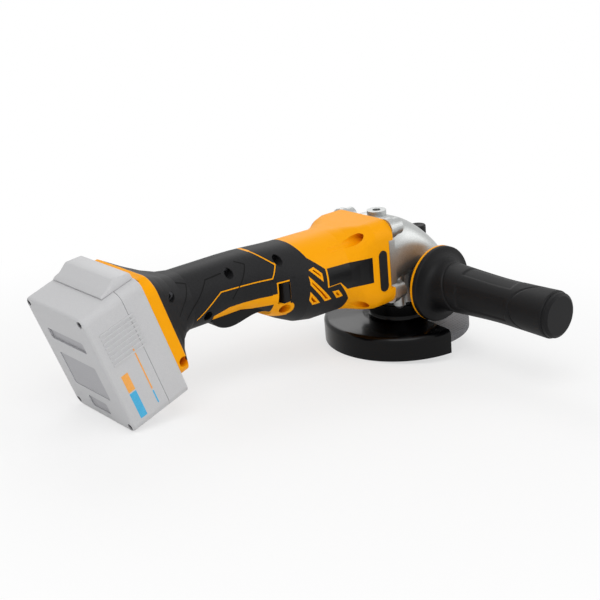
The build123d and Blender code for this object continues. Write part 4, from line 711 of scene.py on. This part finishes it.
# Soft cover turned into the front wall of the lock-off window
lining = {"x": -139.62, "wall": 0.1, "low": 55.9, "high": 72.1, "rows": 12, "lip": 0.1, "depth": 8.0}
liningUp = np.linspace(lining["low"], lining["high"], lining["rows"])
liningEdge = np.stack([np.full(lining["rows"], lining["x"] + 3 * lining["wall"]), liningUp], -1)
liningCorners = [(0.0, lining["lip"]), (0.0, lining["depth"])]
liningCorners += [(lining["wall"], lining["depth"]), (lining["wall"], lining["lip"])]
liningEnds = np.arange(4) + np.array([[0], [4 * (lining["rows"] - 1)]])
liningFaces = np.concatenate([gridFaces(lining["rows"], 4, False, True), liningEnds])
for sideName, sideSign in sides.items():
    lip = surfaceAt(liningEdge, "grip_cover", sideName)
    liningLines = []
    for back, inward in liningCorners:
        liningX = np.full(lining["rows"], lining["x"] - back)
        liningLines.append(np.stack([liningX, lip - sideSign * inward, liningUp], -1))
    liningPoints = toRow(np.stack(liningLines, 1))
    liningPiece = makePiece("lock_off_lining_" + sideName, liningPoints, liningFaces, blackTpe)
    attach(liningPiece, "housing")
print("lock-off linings")

# Soft cover drawn round the front of the screw boss, so that the yellow there ends in a round eye
boss = {"x": -142.5, "z": 49.8, "near": 6.5, "far": 10.0, "rows": 12}
boss.update({"from": -60.0, "to": 60.0, "columns": 40})
bossTurn = np.radians(np.linspace(boss["from"], boss["to"], boss["columns"]))
bossOut = np.linspace(boss["near"], boss["far"], boss["rows"])[:, None]
bossFlat = np.stack([boss["x"] + bossOut * np.cos(bossTurn), boss["z"] + bossOut * np.sin(bossTurn)], -1)
for sideName in sides:
    bossPiece = conform("boss_surround_" + sideName, bossFlat, "grip_cover", sideName, coverLift, blackTpe)
print("boss surrounds")


def mitred(points, distance):
    # side-view line moved sideways by that distance, mitred at its corners
    line = np.asarray(points, float)
    run = np.diff(line, axis=0)
    run /= np.linalg.norm(run, axis=1)[:, None]
    normal = np.stack([-run[:, 1], run[:, 0]], -1)
    before = np.vstack([normal[:1], normal])
    after = np.vstack([normal, normal[-1:]])
    return line + distance * (before + after) / (1 + (before * after).sum(1))[:, None]


# Soft cover drawn close along both edges of the trim line, which leaves the line thin
trim = {"near": 0.5, "far": 1.1, "top": 96.4, "count": 161}
trimLine = [(-166.0, 104.0), (-146.9, 86.0), (-152.8, 77.2), (-197.6, 79.3), (-219.6, 63.9)]


def trimEdge(distance):
    # the trim line moved by that distance, cut off level under the top of the grip and evenly spread
    moved = mitred(trimLine, distance)
    moved[0] += (moved[0, 1] - trim["top"]) / (moved[0, 1] - moved[1, 1]) * (moved[1] - moved[0])
    corners = np.arange(len(moved))
    place = np.linspace(0, corners[-1], trim["count"])
    return np.stack([np.interp(place, corners, moved[:, 0]), np.interp(place, corners, moved[:, 1])], -1)


for sideName in sides:
    for edgeName, edgeSign in (("above", 1.0), ("below", -1.0)):
        edgeFlat = np.stack([trimEdge(edgeSign * trim["near"]), trimEdge(edgeSign * trim["far"])])
        edgeTitle = "trim_edge_" + edgeName + "_" + sideName
        edgePiece = conform(edgeTitle, edgeFlat, "grip_cover", sideName, coverLift, blackTpe)
print("trim edges")

# Soft cover turned down into its screw wells, so that the wells are black. Each well has its x, its z and
# how far left its screw head lies.
well = {"radius": 3.88, "wall": 0.35, "under": 0.15, "ring": 4.3, "least": 0.5}
wells = {
    "rear": (-242.8, 90.2, -25.0),
    "low": (-209.7, 64.2, -14.0),
    "top": (-186.6, 89.4, -14.0),
    "front": (-142.8, 87.8, -14.0),
}
aroundTurn = np.stack([np.cos(fullTurn), np.sin(fullTurn)], -1)
for wellName, (wellX, wellZ, screwHead) in wells.items():
    wellMiddle = np.array([wellX, wellZ])
    wellRim = surfaceAt(wellMiddle + well["ring"] * aroundTurn, "grip_cover", "right") + well["under"]
    wellFloor = np.maximum(wellRim + well["least"], screwHead)
    outer = wellMiddle + well["radius"] * aroundTurn
    inner = wellMiddle + (well["radius"] - well["wall"]) * aroundTurn
    sleeve = []
    for ring, y in ((outer, wellFloor), (outer, wellRim), (inner, wellRim), (inner, wellFloor)):
        sleeve.append(np.stack([ring[:, 0], y, ring[:, 1]], -1))
    sleevePiece = makePiece(
        "screw_well_" + wellName,
        toRow(np.stack(sleeve)),
        gridFaces(len(sleeve), len(fullTurn), True, True),
        blackTpe,
    )
    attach(sleevePiece, "housing")
print("screw wells")


def packBars(name, bars, proud, sideName, material):
    # flat bars (low v, high v, low w, high w) on a side face of the pack, all one mesh
    sunk = 0.3
    lowV, highV, lowW, highW = np.array(bars, float).T[..., None]
    cube = np.stack(np.meshgrid([0, 1], [0, 1], [0, 1], indexing="ij"), -1).reshape(-1, 3)
    v = lowV + (highV - lowV) * cube[:, 0]
    w = lowW + (highW - lowW) * cube[:, 1]
    out = pack["half"] - sunk + (proud + sunk) * cube[:, 2] + 0 * v
    box = np.array([(0, 1, 3, 2), (4, 6, 7, 5), (0, 4, 5, 1), (2, 3, 7, 6), (0, 2, 6, 4), (1, 5, 7, 3)])
    faces = (box + len(cube) * np.arange(len(bars))[:, None, None]).reshape(-1, 4)
    made = makePiece(name, toRow(packPlace(sides[sideName] * out, v, w)), faces, material)
    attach(made, "pack")


# Pack side faces: a row of finger ridges on both, and plain printed bars on the right
ridge = {"from": 5.0, "to": 30.0, "pitch": 3.5, "width": 1.4, "rear": -42.0, "front": -14.0, "proud": 0.5}
ridgeLow = np.arange(ridge["from"], ridge["to"], ridge["pitch"])
ridges = [(v, v + ridge["width"], ridge["rear"], ridge["front"]) for v in ridgeLow]
for sideName in sides:
    packBars("pack_ridges_" + sideName, ridges, ridge["proud"], sideName, greyAbs)
inkProud = 0.1
orangeBars = [(-18.0, -4.0, -41.0, -35.5), (-26.0, 10.0, -25.0, -24.0)]
cyanBars = [(-40.0, -19.0, -41.0, -35.5), (-38.0, -27.5, -25.0, -24.0)]
packBars("pack_bar_orange", orangeBars, inkProud, "right", orangeInk)
packBars("pack_bar_cyan", cyanBars, inkProud, "right", cyanInk)
print("pack ridges and bars")


def backgroundRays(tree):
    # 1 on the rays that show the background: seen, mirrored or seen through; 0 on those that light the tool
    path = addNode(tree, "ShaderNodeLightPath").outputs
    seen = addMath(tree, "MAXIMUM", path["Is Camera Ray"], path["Is Glossy Ray"])
    return addMath(tree, "MAXIMUM", seen, path["Is Transmission Ray"])


# Plain pale floor under the resting tool, which fades to white away from it
ground = {"reach": 6.0, "x": -0.13, "y": -0.03, "near": 0.2, "far": 0.5, "white": 0.6}
floorZ = cadLow.z
floorMesh = bpy.data.meshes.new("floor")
floorSigns = ((-1, -1), (1, -1), (1, 1), (-1, 1))
floorCorners = [(x * ground["reach"], y * ground["reach"], floorZ) for x, y in floorSigns]
floorMesh.from_pydata(floorCorners, [], [(0, 1, 2, 3)])
floorPaint, floorTree, floorSurface = startMaterial("pale matt floor", "f7f7f7", 0.95)
floorSpan = {0: objectPlace(floorTree), 1: (ground["x"], ground["y"], floorZ)}
floorAway = addNode(floorTree, "ShaderNodeVectorMath", floorSpan, operation="DISTANCE").outputs["Value"]
fade = {"Value": floorAway, "From Min": ground["near"], "From Max": ground["far"], "To Min": ground["white"]}
floorFade = addNode(floorTree, "ShaderNodeMapRange", fade, interpolation_type="SMOOTHSTEP").outputs["Result"]
floorShown = addMath(floorTree, "MULTIPLY", floorFade, backgroundRays(floorTree))
floorGlow = addNode(floorTree, "ShaderNodeEmission", {"Color": linear("ffffff"), "Strength": 1.0})
floorLayers = {0: floorShown, 1: floorSurface.outputs["BSDF"], 2: floorGlow.outputs["Emission"]}
floorMix = addNode(floorTree, "ShaderNodeMixShader", floorLayers)
floorTree.links.new(floorMix.outputs["Shader"], floorTree.nodes["Material Output"].inputs["Surface"])
floorMesh.materials.append(floorPaint)
floor = bpy.data.objects.new("floor", floorMesh)
bpy.context.scene.collection.objects.link(floor)

# Soft studio light: a white surround that lights the tool at half strength, and three large lamps
world = bpy.data.worlds.new("studio")
world.use_nodes = True
bpy.context.scene.world = world
worldTree = world.node_tree
worldTree.nodes.clear()
glow = addNode(worldTree, "ShaderNodeBackground", {"Color": linear("ffffff"), "Strength": 0.5})
white = addNode(worldTree, "ShaderNodeBackground", {"Color": linear("ffffff"), "Strength": 1.0})
worldLayers = {0: backgroundRays(worldTree), 1: glow.outputs["Background"], 2: white.outputs["Background"]}
worldMix = addNode(worldTree, "ShaderNodeMixShader", worldLayers)
addNode(worldTree, "ShaderNodeOutputWorld", {"Surface": worldMix.outputs["Shader"]})

middle = (cadLow + cadHigh) / 2
lamps = {
    "key": {"place": (-0.75, -0.65, 1.15), "size": 0.9, "power": 8.0},
    "fill": {"place": (0.95, -0.75, 0.55), "size": 0.8, "power": 3.5},
    "rim": {"place": (0.35, 1.0, 0.95), "size": 0.8, "power": 4.0},
}
for lampName, lamp in lamps.items():
    light = bpy.data.lights.new(lampName, "AREA")
    light.size = lamp["size"]
    light.energy = lamp["power"]
    lampObject = bpy.data.objects.new(lampName, light)
    lampPlace = Vector(lamp["place"])
    lampTurn = (middle - lampPlace).to_track_quat("-Z", "Y").to_matrix().to_4x4()
    lampObject.matrix_world = Matrix.Translation(lampPlace) @ lampTurn
    bpy.context.scene.collection.objects.link(lampObject)
print("floor and light")

# Camera where the photo was taken from, worked out from the guard, disc, handle and pack outlines
eye = {"place": (-663.96, -659.23, 267.26), "azimuth": 50.117, "dip": 15.577, "roll": 0.4287}
eye.update({"lens": 67.716, "sensor": 36.0, "near": 0.05})
azimuth, dip, roll = (math.radians(eye[key]) for key in ("azimuth", "dip", "roll"))
forward = Vector((math.cos(azimuth) * math.cos(dip), math.sin(azimuth) * math.cos(dip), -math.sin(dip)))
level = Vector((forward.y, -forward.x, 0)).normalized()
upright = level.cross(forward)
rightHand = level * math.cos(roll) + upright * math.sin(roll)
upHand = upright * math.cos(roll) - level * math.sin(roll)
cameraData = bpy.data.cameras.new("photo camera")
cameraData.sensor_width = eye["sensor"]
cameraData.lens = eye["lens"]
cameraData.clip_start = eye["near"]
camera = bpy.data.objects.new("photo camera", cameraData)
turnMatrix = Matrix((rightHand, upHand, -forward)).transposed().to_4x4()
camera.matrix_world = Matrix.Translation(Vector(eye["place"]) * mm) @ turnMatrix
bpy.context.scene.collection.objects.link(camera)
bpy.context.scene.camera = camera
bpy.context.scene.view_settings.view_transform = "Standard"
